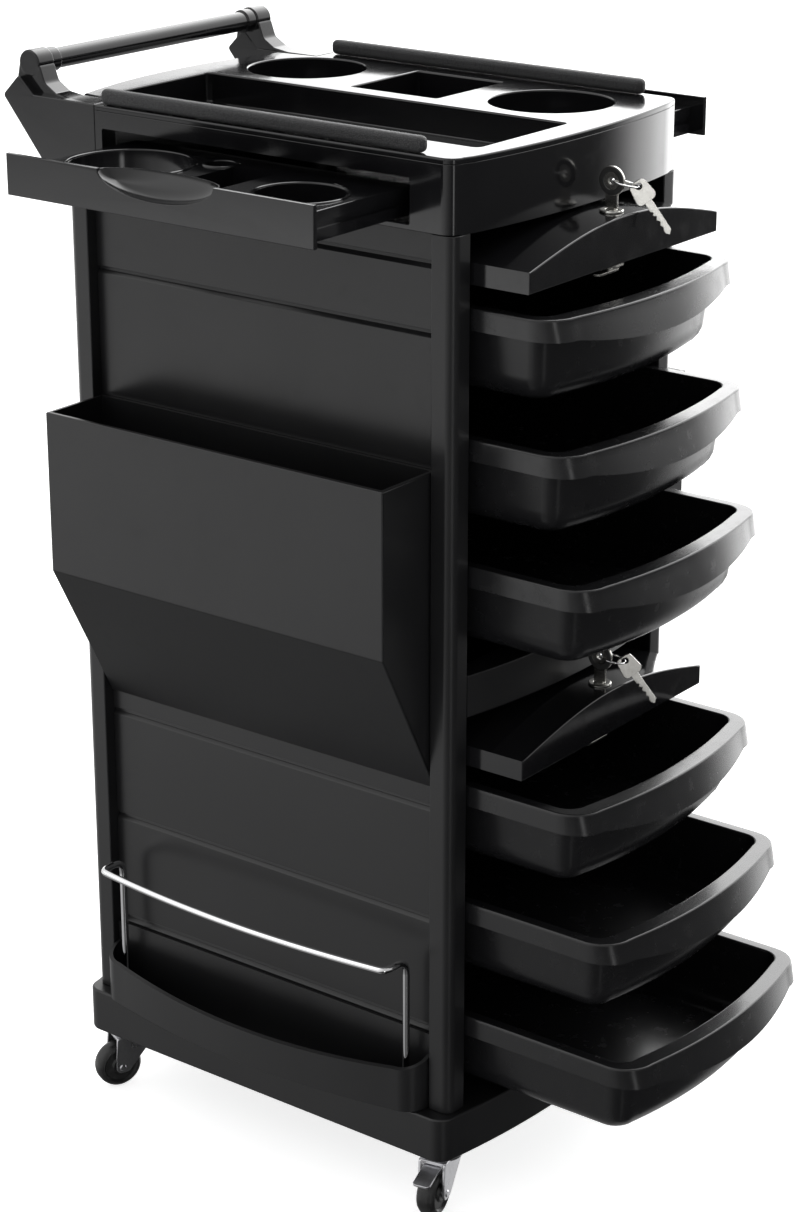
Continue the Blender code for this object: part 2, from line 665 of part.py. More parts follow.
# ---------------------------------------------------------------- drawers
def make_drawer(name, rim, opened):
    shape = dict(half_w=DRAWER_HALF, front=DRAWER_FRONT - opened, back=DRAWER_BACK - opened,
                 radius=DRAWER_RADIUS, bow_front=DRAWER_BOW, corner=6)

    def skirt_drop(x, y):
        mid = 1 - min(1.0, abs(x) / (DRAWER_HALF - DRAWER_RADIUS)) ** 2
        return SKIRT_END + (SKIRT_MID - SKIRT_END) * mid * front_share(y)

    def front_share(y):
        return max(0.0, min(1.0, (shape["front"] + DRAWER_RADIUS - y) / DRAWER_RADIUS))

    rim_line = plan(**shape)
    under = inset_plan(DRAWER_WALL, **shape)
    ahead = RIM_FRONT - RIM_WIDTH
    throat = inset_plan(RIM_WIDTH, at_front=ahead, **shape)
    tub_top = inset_plan(RIM_WIDTH - DRAWER_WALL, at_front=ahead, **shape)
    tub_foot = inset_plan(RIM_WIDTH + 0.001, at_front=ahead, **shape)
    tub_floor = inset_plan(RIM_WIDTH + 0.001 + DRAWER_WALL, at_front=ahead, **shape)
    small = 0.0002
    loops = [
        [(x, y, rim - DRAWER_DEPTH) for x, y in tub_foot],
        [(x, y, rim - RIM_THICK) for x, y in tub_top],
        [(x, y, rim - RIM_THICK + small) for x, y in under],
        [(x, y - SKIRT_FLARE * front_share(y), rim - skirt_drop(x, y)) for x, y in under],
        [(x, y - SKIRT_FLARE * front_share(y), rim - skirt_drop(x, y)) for x, y in rim_line],
        [(x, y, rim) for x, y in rim_line],
        [(x, y, rim) for x, y in throat],
        [(x, y, rim - DRAWER_DEPTH + DRAWER_WALL) for x, y in tub_floor],
    ]
    return place(name, loft(loops), GLOSS, smooth=35)


def make_drawers():
    for i, (rim, opened) in enumerate(zip(rim_levels(), DRAWER_OPEN)):
        make_drawer(f"drawer_{i + 1}", rim, opened)


# ---------------------------------------------------------------- pocket doors, locks and keys
def arch(half, low, edge, crown, steps=12):
    """Door section: flat underside, arched top, in X and Z."""
    top = [(half * (1 - 2 * i / steps), low + edge + (crown - edge) * math.cos(math.pi / 2 * (1 - 2 * i / steps)))
           for i in range(steps + 1)]
    return [(-half, low), (half, low)] + top


def make_door(label, underside):
    front = -HALF_D - DOOR_OUT
    back = front + DOOR_LENGTH
    section = arch(DOOR_HALF, underside, DOOR_EDGE, DOOR_CROWN)
    door = place(f"door_{label}", lengthwise(section, front, back), SATIN, smooth=35)
    hollow = arch(DOOR_HALF - DOOR_WALL, underside + DOOR_WALL, DOOR_EDGE - 2 * DOOR_WALL,
                  DOOR_CROWN - 2 * DOOR_WALL)
    cavity_front = LOCK_Y + LOCK_RADIUS + 2 * DOOR_WALL
    cut(door, f"door_{label}", lengthwise(hollow, cavity_front, back + 0.01),
        disc(0, LOCK_Y, LOCK_RADIUS + TOUCH, underside - 0.01, underside + DOOR_CROWN + 0.01, 20))


def make_lock(label, underside):
    """Lock body through the door, turning plug with its cam, key, ring and hanging spare key."""
    face = underside + DOOR_CROWN + TOUCH
    foot = underside - TOUCH
    barrel_foot = underside - 0.006
    axis = (0, LOCK_Y, face)
    loops = []
    bore = PLUG_RADIUS + TOUCH
    lock_face = face + LOCK_FLANGE
    for z, r in ((barrel_foot, bore), (barrel_foot, LOCK_RADIUS), (face, LOCK_RADIUS),
                 (face, LOCK_FLANGE_RADIUS), (lock_face - 0.0006, LOCK_FLANGE_RADIUS),
                 (lock_face, LOCK_FLANGE_RADIUS - 0.0008), (lock_face, bore)):
        loops.append([(x, y, z) for x, y in circle(0, LOCK_Y, r, 20)])
    bm = tube_through(loops)
    body = place(f"lock_body_{label}", bm, NICKEL, origin=axis, smooth=35)
    nut = disc(0, LOCK_Y, LOCK_RADIUS + 0.003, underside - 0.0045, foot, 6)
    join(body, f"lock_nut_{label}", nut)
    cut(body, f"lock_bore_{label}", disc(0, LOCK_Y, bore, barrel_foot - 0.01, lock_face + 0.01, 20))

    cam_top = underside - CAM_DROP + CAM_THICK
    plug = place(f"lock_plug_{label}", disc(0, LOCK_Y, PLUG_RADIUS, cam_top - CAM_THICK / 2, lock_face, 20),
                 NICKEL, origin=axis, smooth=35)
    half = CAM_WIDTH / 2
    steps = 6
    round_end = [(-CAM_LENGTH + half - half * math.sin(math.pi * i / steps),
                  LOCK_Y + half * math.cos(math.pi * i / steps)) for i in range(steps + 1)]
    lever = upright([(half, LOCK_Y - half), (half, LOCK_Y + half)] + round_end, cam_top - CAM_THICK, cam_top)
    join(plug, f"lock_cam_{label}", lever)
    slot_x = KEY_THICK / 2 + TOUCH
    slot_y = KEY_BLADE_WIDTH / 2 + TOUCH
    cut(plug, f"key_slot_{label}", block(-slot_x, slot_x, LOCK_Y - slot_y, LOCK_Y + slot_y,
                                         lock_face - KEY_BLADE_DEPTH - TOUCH, lock_face + 0.01))

    hole = Vector((0, LOCK_Y, lock_face + KEY_STEM))
    key = across(circle(LOCK_Y, hole.z, KEY_BOW_RADIUS, 20), -KEY_THICK / 2, KEY_THICK / 2)
    key = place(f"key_{label}", key, NICKEL, origin=axis, smooth=35)
    blade_half = KEY_BLADE_WIDTH / 2
    shoulder = blade_half + 0.0022
    stop = lock_face + 0.0008
    blade = [(LOCK_Y - blade_half, lock_face - KEY_BLADE_DEPTH), (LOCK_Y + blade_half, lock_face - KEY_BLADE_DEPTH),
             (LOCK_Y + blade_half, stop), (LOCK_Y + shoulder, stop), (LOCK_Y + shoulder, hole.z - 0.004),
             (LOCK_Y - shoulder, hole.z - 0.004), (LOCK_Y - shoulder, stop), (LOCK_Y - blade_half, stop)]
    join(key, f"key_blade_{label}", across(blade, -KEY_THICK / 2 + 0.0001, KEY_THICK / 2 - 0.0001))
    cut(key, f"key_hole_{label}", across(circle(LOCK_Y, hole.z, KEY_HOLE_RADIUS, 14), -0.01, 0.01))

    thread = Vector((1, 1, 0)).normalized()          # the ring's wire where it passes through both bows
    reach = Vector((1, -1, -0.35)).normalized()      # from the key's hole across the ring
    centre = hole + reach * RING_RADIUS
    place(f"key_ring_{label}", torus(centre, reach, thread, RING_RADIUS, RING_WIRE), CHROME, origin=centre,
          smooth=60)

    hang = hole + reach * 2 * RING_RADIUS
    lean = math.radians(SPARE_LEAN)
    outward = Vector((1, -1, 0)).normalized()
    down = outward * math.sin(lean) - Vector((0, 0, 1)) * math.cos(lean)
    wide = down.cross(thread)
    make_spare_key(label, hang, down, wide, thread)


def make_spare_key(label, hang, down, wide, thread):
    """Spare key in the plane of down and wide, hanging by its hole; thread is its flat face's normal."""
    def plate(points, thick):
        return loft([[hang + down * d + wide * w + thread * t for d, w in points]
                     for t in (-thick / 2, thick / 2)])

    bow = [(SPARE_BOW_RADIUS * 0.55 + SPARE_BOW_RADIUS * math.cos(2 * math.pi * i / 16),
            SPARE_BOW_RADIUS * math.sin(2 * math.pi * i / 16)) for i in range(16)]
    key = place(f"spare_key_{label}", plate(bow, KEY_THICK), NICKEL, origin=hang, smooth=35)
    half = KEY_BLADE_WIDTH / 2
    start = SPARE_BOW_RADIUS
    end = SPARE_BOW_RADIUS * 1.55 + SPARE_BLADE
    blade = [(start, -half), (end - half, -half), (end, 0), (end - half, half), (start, half)]
    join(key, f"spare_blade_{label}", plate(blade, KEY_THICK - 0.0002))
    hole = [(KEY_HOLE_RADIUS * math.cos(2 * math.pi * i / 14), KEY_HOLE_RADIUS * math.sin(2 * math.pi * i / 14))
            for i in range(14)]
    cut(key, f"spare_hole_{label}", plate(hole, KEY_THICK * 4))


def tube_through(loops):
    """Turned piece with a hole through it: loops run from the bore round the outside and back."""
    bm = bmesh.new()
    rings = [[bm.verts.new(p) for p in loop] for loop in loops]
    for low, high in zip(rings, rings[1:] + rings[:1]):
        for i in range(len(low)):
            j = (i + 1) % len(low)
            bm.faces.new((low[i], low[j], high[j], high[i]))
    return bm


def torus(centre, u, v, radius, wire, steps=20, sides=6):
    normal = u.cross(v)
    loops = []
    for i in range(steps):
        angle = 2 * math.pi * i / steps
        out = u * math.cos(angle) + v * math.sin(angle)
        loops.append([centre + out * (radius + wire * math.cos(2 * math.pi * k / sides))
                      + normal * wire * math.sin(2 * math.pi * k / sides) for k in range(sides)])
    return tube_through(loops)


# ---------------------------------------------------------------- side pockets, shelves and rails
def make_pockets():
    rim = BOX_BOTTOM - POCKET_TOP_DROP
    knee = rim - POCKET_STRAIGHT
    foot = knee - POCKET_SLOPE
    back = PANEL_X + TOUCH
    out = HALF_W + POCKET_OUT
    wall = POCKET_WALL
    half = INNER_Y - 3 * TOUCH
    outer = [(back, foot), (out, knee), (out, rim), (back, rim)]
    inner = [(back + wall, foot + 2.6 * wall), (out - wall, knee + wall / 2), (out - wall, rim + 0.01),
             (back + wall, rim + 0.01)]
    for label, side in (("left", -1), ("right", 1)):
        pocket = place(f"side_pocket_{label}", lengthwise([(side * x, z) for x, z in outer], -half, half), SATIN)
        cut(pocket, f"pocket_{label}",
            lengthwise([(side * x, z) for x, z in inner], -half + wall, half - wall))


def shelf_plan(depth=0.0, steps=10):
    """Shelf outline on the +X side, from the panel out to a bowed lip with rounded ends."""
    back = PANEL_X + TOUCH + depth
    start = HALF_W + SHELF_OUT * 0.55 - depth
    half = INNER_Y - 3 * TOUCH - depth
    radius = SHELF_CORNER - depth
    points = [(back, half), (back, -half)]
    corner = [(start - radius + radius * math.sin(math.pi / 2 * i / 4),
               -half + radius - radius * math.cos(math.pi / 2 * i / 4)) for i in range(5)]
    flat = half - radius
    bow = [(start + SHELF_OUT * 0.45 * (1 - (2 * i / steps - 1) ** 2), flat * (2 * i / steps - 1))
           for i in range(1, steps)]
    return points + corner + bow + [(x, -y) for x, y in reversed(corner)]


def make_shelves():
    floor = DECK + TOUCH
    top = DECK + SHELF_BACK_HEIGHT
    for label, side in (("left", -1), ("right", 1)):
        outline = shelf_plan()
        inner = shelf_plan(SHELF_WALL)
        if side < 0:
            outline = mirror_x(outline)
            inner = mirror_x(inner)
        shelf = place(f"bottle_shelf_{label}", upright(outline, floor, top), SATIN, smooth=35)
        lip_start = PANEL_X + TOUCH + SHELF_WALL * 1.2
        lip_end = HALF_W + SHELF_OUT
        slope = (SHELF_LIP_END - SHELF_LIP_MID) / (lip_end - HALF_W)
        rise = DECK + SHELF_LIP_END + slope * (HALF_W - lip_start)
        dip = DECK + SHELF_LIP_MID - slope * 0.01
        over = [(lip_start, rise), (lip_end + 0.01, dip), (lip_end + 0.01, top + 0.02), (lip_start, top + 0.02)]
        cut(shelf, f"shelf_{label}", upright(inner, floor + SHELF_WALL, top + 0.01),
            lengthwise([(side * x, z) for x, z in over], -HALF_D, HALF_D))


def smooth_route(points, radius, steps=4, sharp=30):
    """Polyline with each corner of more than sharp degrees replaced by a short quadratic curve."""
    route = [points[0]]
    for before, here, after in zip(points, points[1:], points[2:]):
        if math.degrees((here - before).angle(after - here)) < sharp:
            route.append(here)
            continue
        start = here + (before - here).normalized() * min(radius, (before - here).length / 2)
        end = here + (after - here).normalized() * min(radius, (after - here).length / 2)
        for i in range(steps + 1):
            t = i / steps
            route.append(start * (1 - t) ** 2 + here * 2 * t * (1 - t) + end * t ** 2)
    route.append(points[-1])
    return route


def make_shelf_rails():
    foot = DECK + TOUCH + SHELF_WALL + TOUCH
    top = DECK + WIRE_HEIGHT
    half = WIRE_SPAN / 2
    post_x = HALF_W + 0.005
    bend_x = HALF_W + SHELF_OUT * 0.70 + WIRE_BEYOND
    crown = HALF_W + SHELF_OUT + WIRE_BEYOND - bend_x
    steps = 8
    for label, side in (("left", -1), ("right", 1)):
        bow = [Vector((side * (bend_x + crown * (1 - (2 * i / steps - 1) ** 2)), -half + 2 * half * i / steps, top))
               for i in range(steps + 1)]
        ends = [Vector((side * post_x, -half, foot)), Vector((side * post_x, -half, top))]
        points = ends + bow + [Vector((v.x, -v.y, v.z)) for v in reversed(ends)]
        route = smooth_route(points, 0.012)
        curve = bpy.data.curves.new(f"shelf_rail_{label}", "CURVE")
        curve.dimensions = "3D"
        curve.bevel_depth = WIRE_RADIUS
        curve.bevel_resolution = 2
        curve.use_fill_caps = True
        spline = curve.splines.new("POLY")
        spline.points.add(len(route) - 1)
        for point, v in zip(spline.points, route):
            point.co = (*v, 1.0)
        curve.materials.append(CHROME)
        rail = bpy.data.objects.new(f"shelf_rail_{label}", curve)
        rail.parent = cart_frame
        bpy.context.scene.collection.objects.link(rail)


# ---------------------------------------------------------------- casters
def turned(bm, centre, degrees):
    bmesh.ops.rotate(bm, verts=bm.verts, cent=centre, matrix=Matrix.Rotation(math.radians(degrees), 3, "Z"))
    return bm


def make_caster(label, cx, cy, degrees, braked):
    """Mount plate on the base; fork trailing along +X before it is turned; wheel on its axle; brake pedal."""
    pivot = (cx, cy, 0)
    plate_low = BASE_BOTTOM - TOUCH - PLATE_THICK
    plate = block(cx - PLATE_SIZE / 2, cx + PLATE_SIZE / 2, cy - PLATE_SIZE / 2, cy + PLATE_SIZE / 2,
                  plate_low, BASE_BOTTOM - TOUCH)
    place(f"caster_plate_{label}", plate, ZINC)

    crown = plate_low - TOUCH
    bridge = crown - 0.008
    leg_gap = WHEEL_WIDTH / 2 + 0.0015
    leg_out = leg_gap + FORK_THICK
    axle_x = cx + CASTER_TRAIL
    head = disc(cx, cy, 0.0165, bridge, crown, 20)
    fork = place(f"caster_fork_{label}", turned(head, pivot, degrees), ZINC, origin=(cx, cy, crown), smooth=35)
    top = bridge + 0.002
    foot = WHEEL_RADIUS - 0.006
    side_view = [(cx - 0.014, top), (cx - 0.014, top - 0.003), (axle_x - 0.006, foot + 0.003),
                 (axle_x - 0.003, foot), (axle_x + 0.003, foot), (axle_x + 0.006, foot + 0.004),
                 (axle_x + 0.004, top)]
    legs = []
    for side in (-1, 1):
        ys = sorted((cy + side * leg_gap, cy + side * leg_out))
        legs.append(turned(lengthwise(side_view, *ys), pivot, degrees))
    roof = block(cx - 0.0136, axle_x + 0.0036, cy - leg_out + 0.0003, cy + leg_out - 0.0003,
                 bridge - 0.0005, bridge + FORK_THICK)
    axle = lengthwise(circle(axle_x, WHEEL_RADIUS, AXLE_RADIUS, 12), cy - leg_out - 0.001, cy + leg_out + 0.001)
    join(fork, f"fork_{label}", turned(roof, pivot, degrees), *legs, turned(axle, pivot, degrees))

    hub = Vector((axle_x, cy, WHEEL_RADIUS))
    half = WHEEL_WIDTH / 2
    bore = AXLE_RADIUS + TOUCH
    dish = 0.002
    shape = ((-half, bore), (-half, 0.007), (-half + dish, 0.0085), (-half + dish, WHEEL_RADIUS - 0.006),
             (-half, WHEEL_RADIUS - 0.004), (-half + 2 * dish, WHEEL_RADIUS))
    shape = shape + tuple((-w, r) for w, r in reversed(shape))
    loops = [[(x, cy + w, z) for x, z in circle(hub.x, hub.z, r, 24)] for w, r in shape]
    wheel = turned(tube_through(loops), pivot, degrees)
    hub_at = Matrix.Rotation(math.radians(degrees), 3, "Z") @ (hub - Vector(pivot)) + Vector(pivot)
    place(f"caster_wheel_{label}", wheel, NYLON, origin=hub_at, smooth=35)

    if braked:
        hinge = Vector((axle_x + PEDAL_PIVOT, cy, bridge - 0.002))
        thick = PEDAL_THICK / 2
        end_z = hinge.z - PEDAL_DROP
        pedal = [(hinge.x, hinge.z - thick), (hinge.x + PEDAL_REACH, end_z - thick),
                 (hinge.x + PEDAL_REACH, end_z + thick), (hinge.x, hinge.z + thick)]
        bm = turned(lengthwise(pedal, cy - PEDAL_WIDTH / 2, cy + PEDAL_WIDTH / 2), pivot, degrees)
        hinge_at = Matrix.Rotation(math.radians(degrees), 3, "Z") @ (hinge - Vector(pivot)) + Vector(pivot)
        pedal = place(f"brake_pedal_{label}", bm, ZINC, origin=hinge_at)
        pin = lengthwise(circle(hinge.x, hinge.z, PEDAL_THICK * 0.55, 10), cy - leg_gap + TOUCH,
                         cy + leg_gap - TOUCH)
        join(pedal, f"pedal_pin_{label}", turned(pin, pivot, degrees))


def make_casters():
    labels = ("front_left", "rear_left", "front_right", "rear_right")
    for label, (cx, cy), degrees in zip(labels, caster_centres(), CASTER_TURN):
        make_caster(label, cx, cy, degrees, label.startswith("front"))


# ---------------------------------------------------------------- build
make_base()
make_posts()
make_panels()
make_racks()
make_middle_rail()
make_top_box()
make_top_tray()
make_fences()
make_handle()
make_side_trays()
make_drawers()
for door_label, door_level in zip(("upper", "lower"), door_undersides()):
    make_door(door_label, door_level)
    make_lock(door_label, door_level)
make_pockets()
make_shelves()
make_shelf_rails()
make_casters()
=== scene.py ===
"""Salon trolley cart: black moulded cabinet with six bowed drawers, two stowed pocket doors with
cam locks, two side trays, magazine pockets, bottle shelves with wire rails, and four casters."""
import math

import bmesh
import bpy
from mathutils import Matrix, Vector


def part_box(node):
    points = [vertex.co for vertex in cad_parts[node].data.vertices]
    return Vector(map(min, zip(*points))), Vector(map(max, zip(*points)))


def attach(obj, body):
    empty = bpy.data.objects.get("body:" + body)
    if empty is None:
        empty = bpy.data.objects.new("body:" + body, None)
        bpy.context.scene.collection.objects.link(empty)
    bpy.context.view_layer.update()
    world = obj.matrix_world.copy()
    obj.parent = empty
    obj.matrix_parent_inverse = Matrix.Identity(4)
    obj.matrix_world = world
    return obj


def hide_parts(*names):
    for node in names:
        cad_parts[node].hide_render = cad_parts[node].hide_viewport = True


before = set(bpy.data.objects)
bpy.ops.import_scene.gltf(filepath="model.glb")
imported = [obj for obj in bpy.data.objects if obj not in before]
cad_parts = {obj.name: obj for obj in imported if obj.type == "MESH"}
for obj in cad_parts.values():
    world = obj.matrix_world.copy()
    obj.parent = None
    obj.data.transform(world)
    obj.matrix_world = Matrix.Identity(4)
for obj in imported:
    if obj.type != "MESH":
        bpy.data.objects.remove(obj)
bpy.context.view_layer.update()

# ------------------------------------------------------------------------------ base tray
# The foot of the cabinet: one injection-moulded ABS tray, upside down, with bowed long edges
# and a rounded top edge. The posts stand on it and the caster plates screw to pads under it.

base_low, base_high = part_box("base_tray")
cabinet_y = (base_low.y + base_high.y) / 2      # every piece is modelled round the cabinet's centre


def clear():
    """Leave edit mode with nothing selected."""
    if bpy.context.mode != "OBJECT":
        bpy.ops.object.mode_set(mode="OBJECT")
    bpy.ops.object.select_all(action="DESELECT")


def take(piece):
    """Select the piece and nothing else, as the active one."""
    clear()
    piece.select_set(True)
    bpy.context.view_layer.objects.active = piece


def block(name, low, high):
    """Box between two corners."""
    clear()
    bpy.ops.mesh.primitive_cube_add(size=1, location=[(a + b) / 2 for a, b in zip(low, high)])
    piece = bpy.context.object
    piece.name = name
    piece.scale = [b - a for a, b in zip(low, high)]
    bpy.ops.object.transform_apply(location=True, rotation=False, scale=True)
    return piece


def pick(piece, kind, test):
    """In edit mode, select the faces, edges or verts that pass the test and nothing else."""
    bpy.ops.mesh.select_mode(type={"faces": "FACE", "edges": "EDGE", "verts": "VERT"}[kind])
    bpy.ops.mesh.select_all(action="DESELECT")
    bm = bmesh.from_edit_mesh(piece.data)
    bm.normal_update()
    for element in getattr(bm, kind):
        if test(element):
            element.select_set(True)
    bm.select_flush_mode()
    bmesh.update_edit_mesh(piece.data)


def edit(piece):
    """Go into edit mode on the piece."""
    take(piece)
    bpy.ops.object.mode_set(mode="EDIT")


def apply(piece, kind, **settings):
    """Add a modifier, set it and apply it."""
    take(piece)
    modifier = piece.modifiers.new(kind.title(), kind)
    for key, value in settings.items():
        setattr(modifier, key, value)
    bpy.ops.object.modifier_apply(modifier=modifier.name)
    return piece


def combine(piece, operation, *tools):
    """Cut the tools out of the piece, or weld them to it, and throw the tools away."""
    for tool in tools:
        apply(piece, "BOOLEAN", operation=operation, solver="EXACT", object=tool)
        bpy.data.objects.remove(tool)
    return piece


def rounded(corners, steps=6):
    """Outline with each corner (a, b, radius) turned into an arc."""
    points = []
    count = len(corners)
    for i, (a, b, radius) in enumerate(corners):
        here = Vector((a, b))
        back = (Vector(corners[i - 1][:2]) - here).normalized()
        ahead = (Vector(corners[(i + 1) % count][:2]) - here).normalized()
        half = back.angle(ahead) / 2
        if radius <= 0 or half > math.radians(89.5):
            points.append(here)
            continue
        start = here + back * radius / math.tan(half)
        end = here + ahead * radius / math.tan(half)
        centre = here + (back + ahead).normalized() * radius / math.sin(half)
        for k in range(steps + 1):
            arm = (start - centre).lerp(end - centre, k / steps).normalized() * radius
            points.append(centre + arm)
    return [(p.x, p.y) for p in points]


def bowed_plan(half, front, back, radius, bow_front=0.0, bow_back=0.0, corner=7, span=32):
    """Outline of a moulding whose front and back edges bow outwards between round corners."""
    flat = half - radius

    def bulge(x, bow):
        return bow * (1 - (x / flat) ** 2)

    def arc(cx, cy, start):
        angles = [math.radians(start + 90 * i / corner) for i in range(corner + 1)]
        return [(cx + radius * math.cos(angle), cy + radius * math.sin(angle)) for angle in angles]

    along = [flat * (2 * i / span - 1) for i in range(1, span)]
    points = arc(-flat, front + radius, 180) + [(x, front - bulge(x, bow_front)) for x in along]
    points += arc(flat, front + radius, 270) + arc(flat, back - radius, 0)
    points += [(x, back + bulge(x, bow_back)) for x in reversed(along)] + arc(-flat, back - radius, 90)
    return points


AXES = {"Z": Matrix.Identity(4),
        "X": Matrix(((0, 0, 1, 0), (1, 0, 0, 0), (0, 1, 0, 0), (0, 0, 0, 1))),
        "Y": Matrix(((1, 0, 0, 0), (0, 0, -1, 0), (0, 1, 0, 0), (0, 0, 0, 1)))}


def plate(name, outlines, low, high, edge=0.0008, axis="Z", rings=3):
    """Flat moulding drawn as closed curves, the first round it and the rest openings, with rounded
    edges. It lies from low to high along the axis."""
    drawing = bpy.data.curves.new(name, "CURVE")
    drawing.dimensions = "2D"
    drawing.fill_mode = "BOTH"
    drawing.extrude = (high - low) / 2 - edge
    drawing.bevel_depth = edge
    drawing.offset = -edge
    drawing.bevel_resolution = rings
    for outline in outlines:
        spline = drawing.splines.new("POLY")
        spline.points.add(len(outline) - 1)
        for point, (a, b) in zip(spline.points, outline):
            point.co = (a, b, 0, 1)
        spline.use_cyclic_u = True
    piece = bpy.data.objects.new(name, drawing)
    bpy.context.scene.collection.objects.link(piece)
    take(piece)
    bpy.ops.object.convert(target="MESH")
    piece = bpy.context.object
    middle = (low + high) / 2
    lift = Matrix.Translation((0, 0, -middle if axis == "Y" else middle))
    piece.data.transform(AXES[axis] @ lift)
    edit(piece)
    bpy.ops.mesh.select_all(action="SELECT")
    bpy.ops.mesh.remove_doubles(threshold=1e-6)
    bpy.ops.mesh.normals_make_consistent(inside=False)
    clear()
    return piece


def top_face(name, outlines, level, edge):
    """Upper skin of a plate: flat at the level, its edges just turning down."""
    piece = plate(name, outlines, level - 4 * edge, level, edge)
    edit(piece)
    bpy.ops.mesh.select_all(action="SELECT")
    bpy.ops.mesh.bisect(plane_co=(0, 0, level - 1.5 * edge), plane_no=(0, 0, 1), clear_inner=True)
    return piece


def open_edges(piece, test=lambda middle: True):
    """Select the open edges whose middle passes the test."""
    pick(piece, "edges", lambda e: e.is_boundary and test((e.verts[0].co + e.verts[1].co) / 2))


def draw_out(steps, centre):
    """Extrude the selected edges step by step: (rise, share of the width, share of the length)."""
    for rise, share_x, share_y in steps:
        bpy.ops.mesh.extrude_edges_move(TRANSFORM_OT_translate={"value": (0, 0, rise)})
        bpy.ops.transform.resize(value=(share_x, share_y, 1), center_override=(centre[0], centre[1], 0))


def thicken(piece, wall):
    """Give the moulded skin its wall, inwards, once all its faces point outwards."""
    edit(piece)
    bpy.ops.mesh.select_all(action="SELECT")
    bpy.ops.mesh.remove_doubles(threshold=1e-6)
    bpy.ops.mesh.normals_make_consistent(inside=False)
    clear()
    crest = max(vert.co.z for vert in piece.data.vertices)
    top = max((f for f in piece.data.polygons if abs(f.center.z - crest) < 1e-5), key=lambda f: f.area)
    if top.normal.z < 0:
        piece.data.flip_normals()
    return apply(piece, "SOLIDIFY", thickness=wall, offset=-1, use_even_offset=True)


def copy_of(piece, name, matrix=Matrix.Identity(4)):
    """Copy with its own mesh, moved by a matrix; a mirrored one gets its faces turned back."""
    twin = piece.copy()
    twin.data = piece.data.copy()
    twin.name = name
    twin.data.transform(matrix)
    if matrix.determinant() < 0:
        twin.data.flip_normals()
    bpy.context.scene.collection.objects.link(twin)
    return twin


MIRROR = Matrix.Scale(-1, 4, (1, 0, 0))


def fit(piece, finish, body, slot, *nodes, sharp=35):
    """Smooth the finished piece, set it in the cabinet's place and hang it on its CAD body."""
    piece.data.transform(Matrix.Translation((0, cabinet_y, 0)))
    take(piece)
    bpy.ops.object.shade_smooth_by_angle(angle=math.radians(sharp))
    apply(piece, "WEIGHTED_NORMAL", keep_sharp=True)
    piece.data.materials.clear()
    piece.data.materials.append(finish)
    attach(piece, body)
    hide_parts(*nodes)
    clear()
    return piece


class Strand:
    """One value inside a finish. Sums and products written with it become Math nodes."""

    def __init__(self, tree, socket=None):
        self.tree = tree
        self.socket = socket

    def node(self, kind, settings=None, inputs=None, out=0):
        made = self.tree.nodes.new(kind)
        for key, value in (settings or {}).items():
            if key == "stops":
                stops = made.color_ramp.elements
                while len(stops) < len(value):
                    stops.new(0.5)
                for stop, (place, shade) in zip(stops, value):
                    stop.position = place
                    stop.color = (shade, shade, shade, 1) if isinstance(shade, float) else (*shade, 1)
            else:
                setattr(made, key, value)
        for key, value in (inputs or {}).items():
            if isinstance(value, Strand):
                self.tree.links.new(value.socket, made.inputs[key])
            else:
                made.inputs[key].default_value = value
        return Strand(self.tree, made.outputs[out] if len(made.outputs) else None)

    def sum(self, operation, first, second=0.0):
        return self.node("ShaderNodeMath", {"operation": operation}, {0: first, 1: second})

    def __add__(self, other):
        return self.sum("ADD", self, other)

    def __sub__(self, other):
        return self.sum("SUBTRACT", self, other)

    def __rsub__(self, other):
        return self.sum("SUBTRACT", other, self)

    def __mul__(self, other):
        return self.sum("MULTIPLY", self, other)

    def __truediv__(self, other):
        return self.sum("DIVIDE", self, other)

    __radd__ = __add__
    __rmul__ = __mul__

    def between(self, low, high):
        """0 at low, 1 at high, and smooth in between."""
        return self.node("ShaderNodeMapRange", {"interpolation_type": "SMOOTHSTEP"},
                         {"Value": self, "From Min": low, "From Max": high})

    def noise(self, scale, detail=2.0, rough=0.5):
        return self.node("ShaderNodeTexNoise", {}, {"Vector": self, "Scale": scale, "Detail": detail,
                                                    "Roughness": rough})

    def shades(self, dark, light):
        """Colour between two, by this value."""
        return self.node("ShaderNodeMix", {"data_type": "RGBA"},
                         {0: self, 6: (*dark, 1), 7: (*light, 1)}, out=2)


def finish(name, recipe):
    """Material from a recipe that turns the object's own coordinates into shader inputs and a relief:
    a height in metres that the light sees as bumps."""
    material = bpy.data.materials.new(name)
    material.use_nodes = True
    material.node_tree.nodes.clear()
    place = Strand(material.node_tree).node("ShaderNodeTexCoord", out="Object")
    inputs, relief = recipe(place)
    inputs["Normal"] = place.node("ShaderNodeBump", {}, {"Height": relief, "Distance": 1.0})
    shader = place.node("ShaderNodeBsdfPrincipled", {}, inputs)
    place.node("ShaderNodeOutputMaterial", {}, {"Surface": shader})
    return material


def satin_recipe(place):
    """Spark-eroded mould skin on black ABS: fine grain, a little cloudiness, faint handling marks."""
    grain = place.noise(2200.0, 2.0)
    cloud = place.noise(14.0, 3.0)
    marks = place.noise(90.0, 4.0, 0.6).between(0.55, 0.75)
    wave = place.noise(5.0, 1.0)
    return {"Base Color": cloud.shades((0.005, 0.005, 0.0054), (0.0075, 0.0075, 0.008)),
            "Roughness": 0.28 + cloud * 0.08 + marks * 0.05,
            "IOR": 1.47}, grain * 0.000012 + cloud * 0.0001 + wave * 0.0010


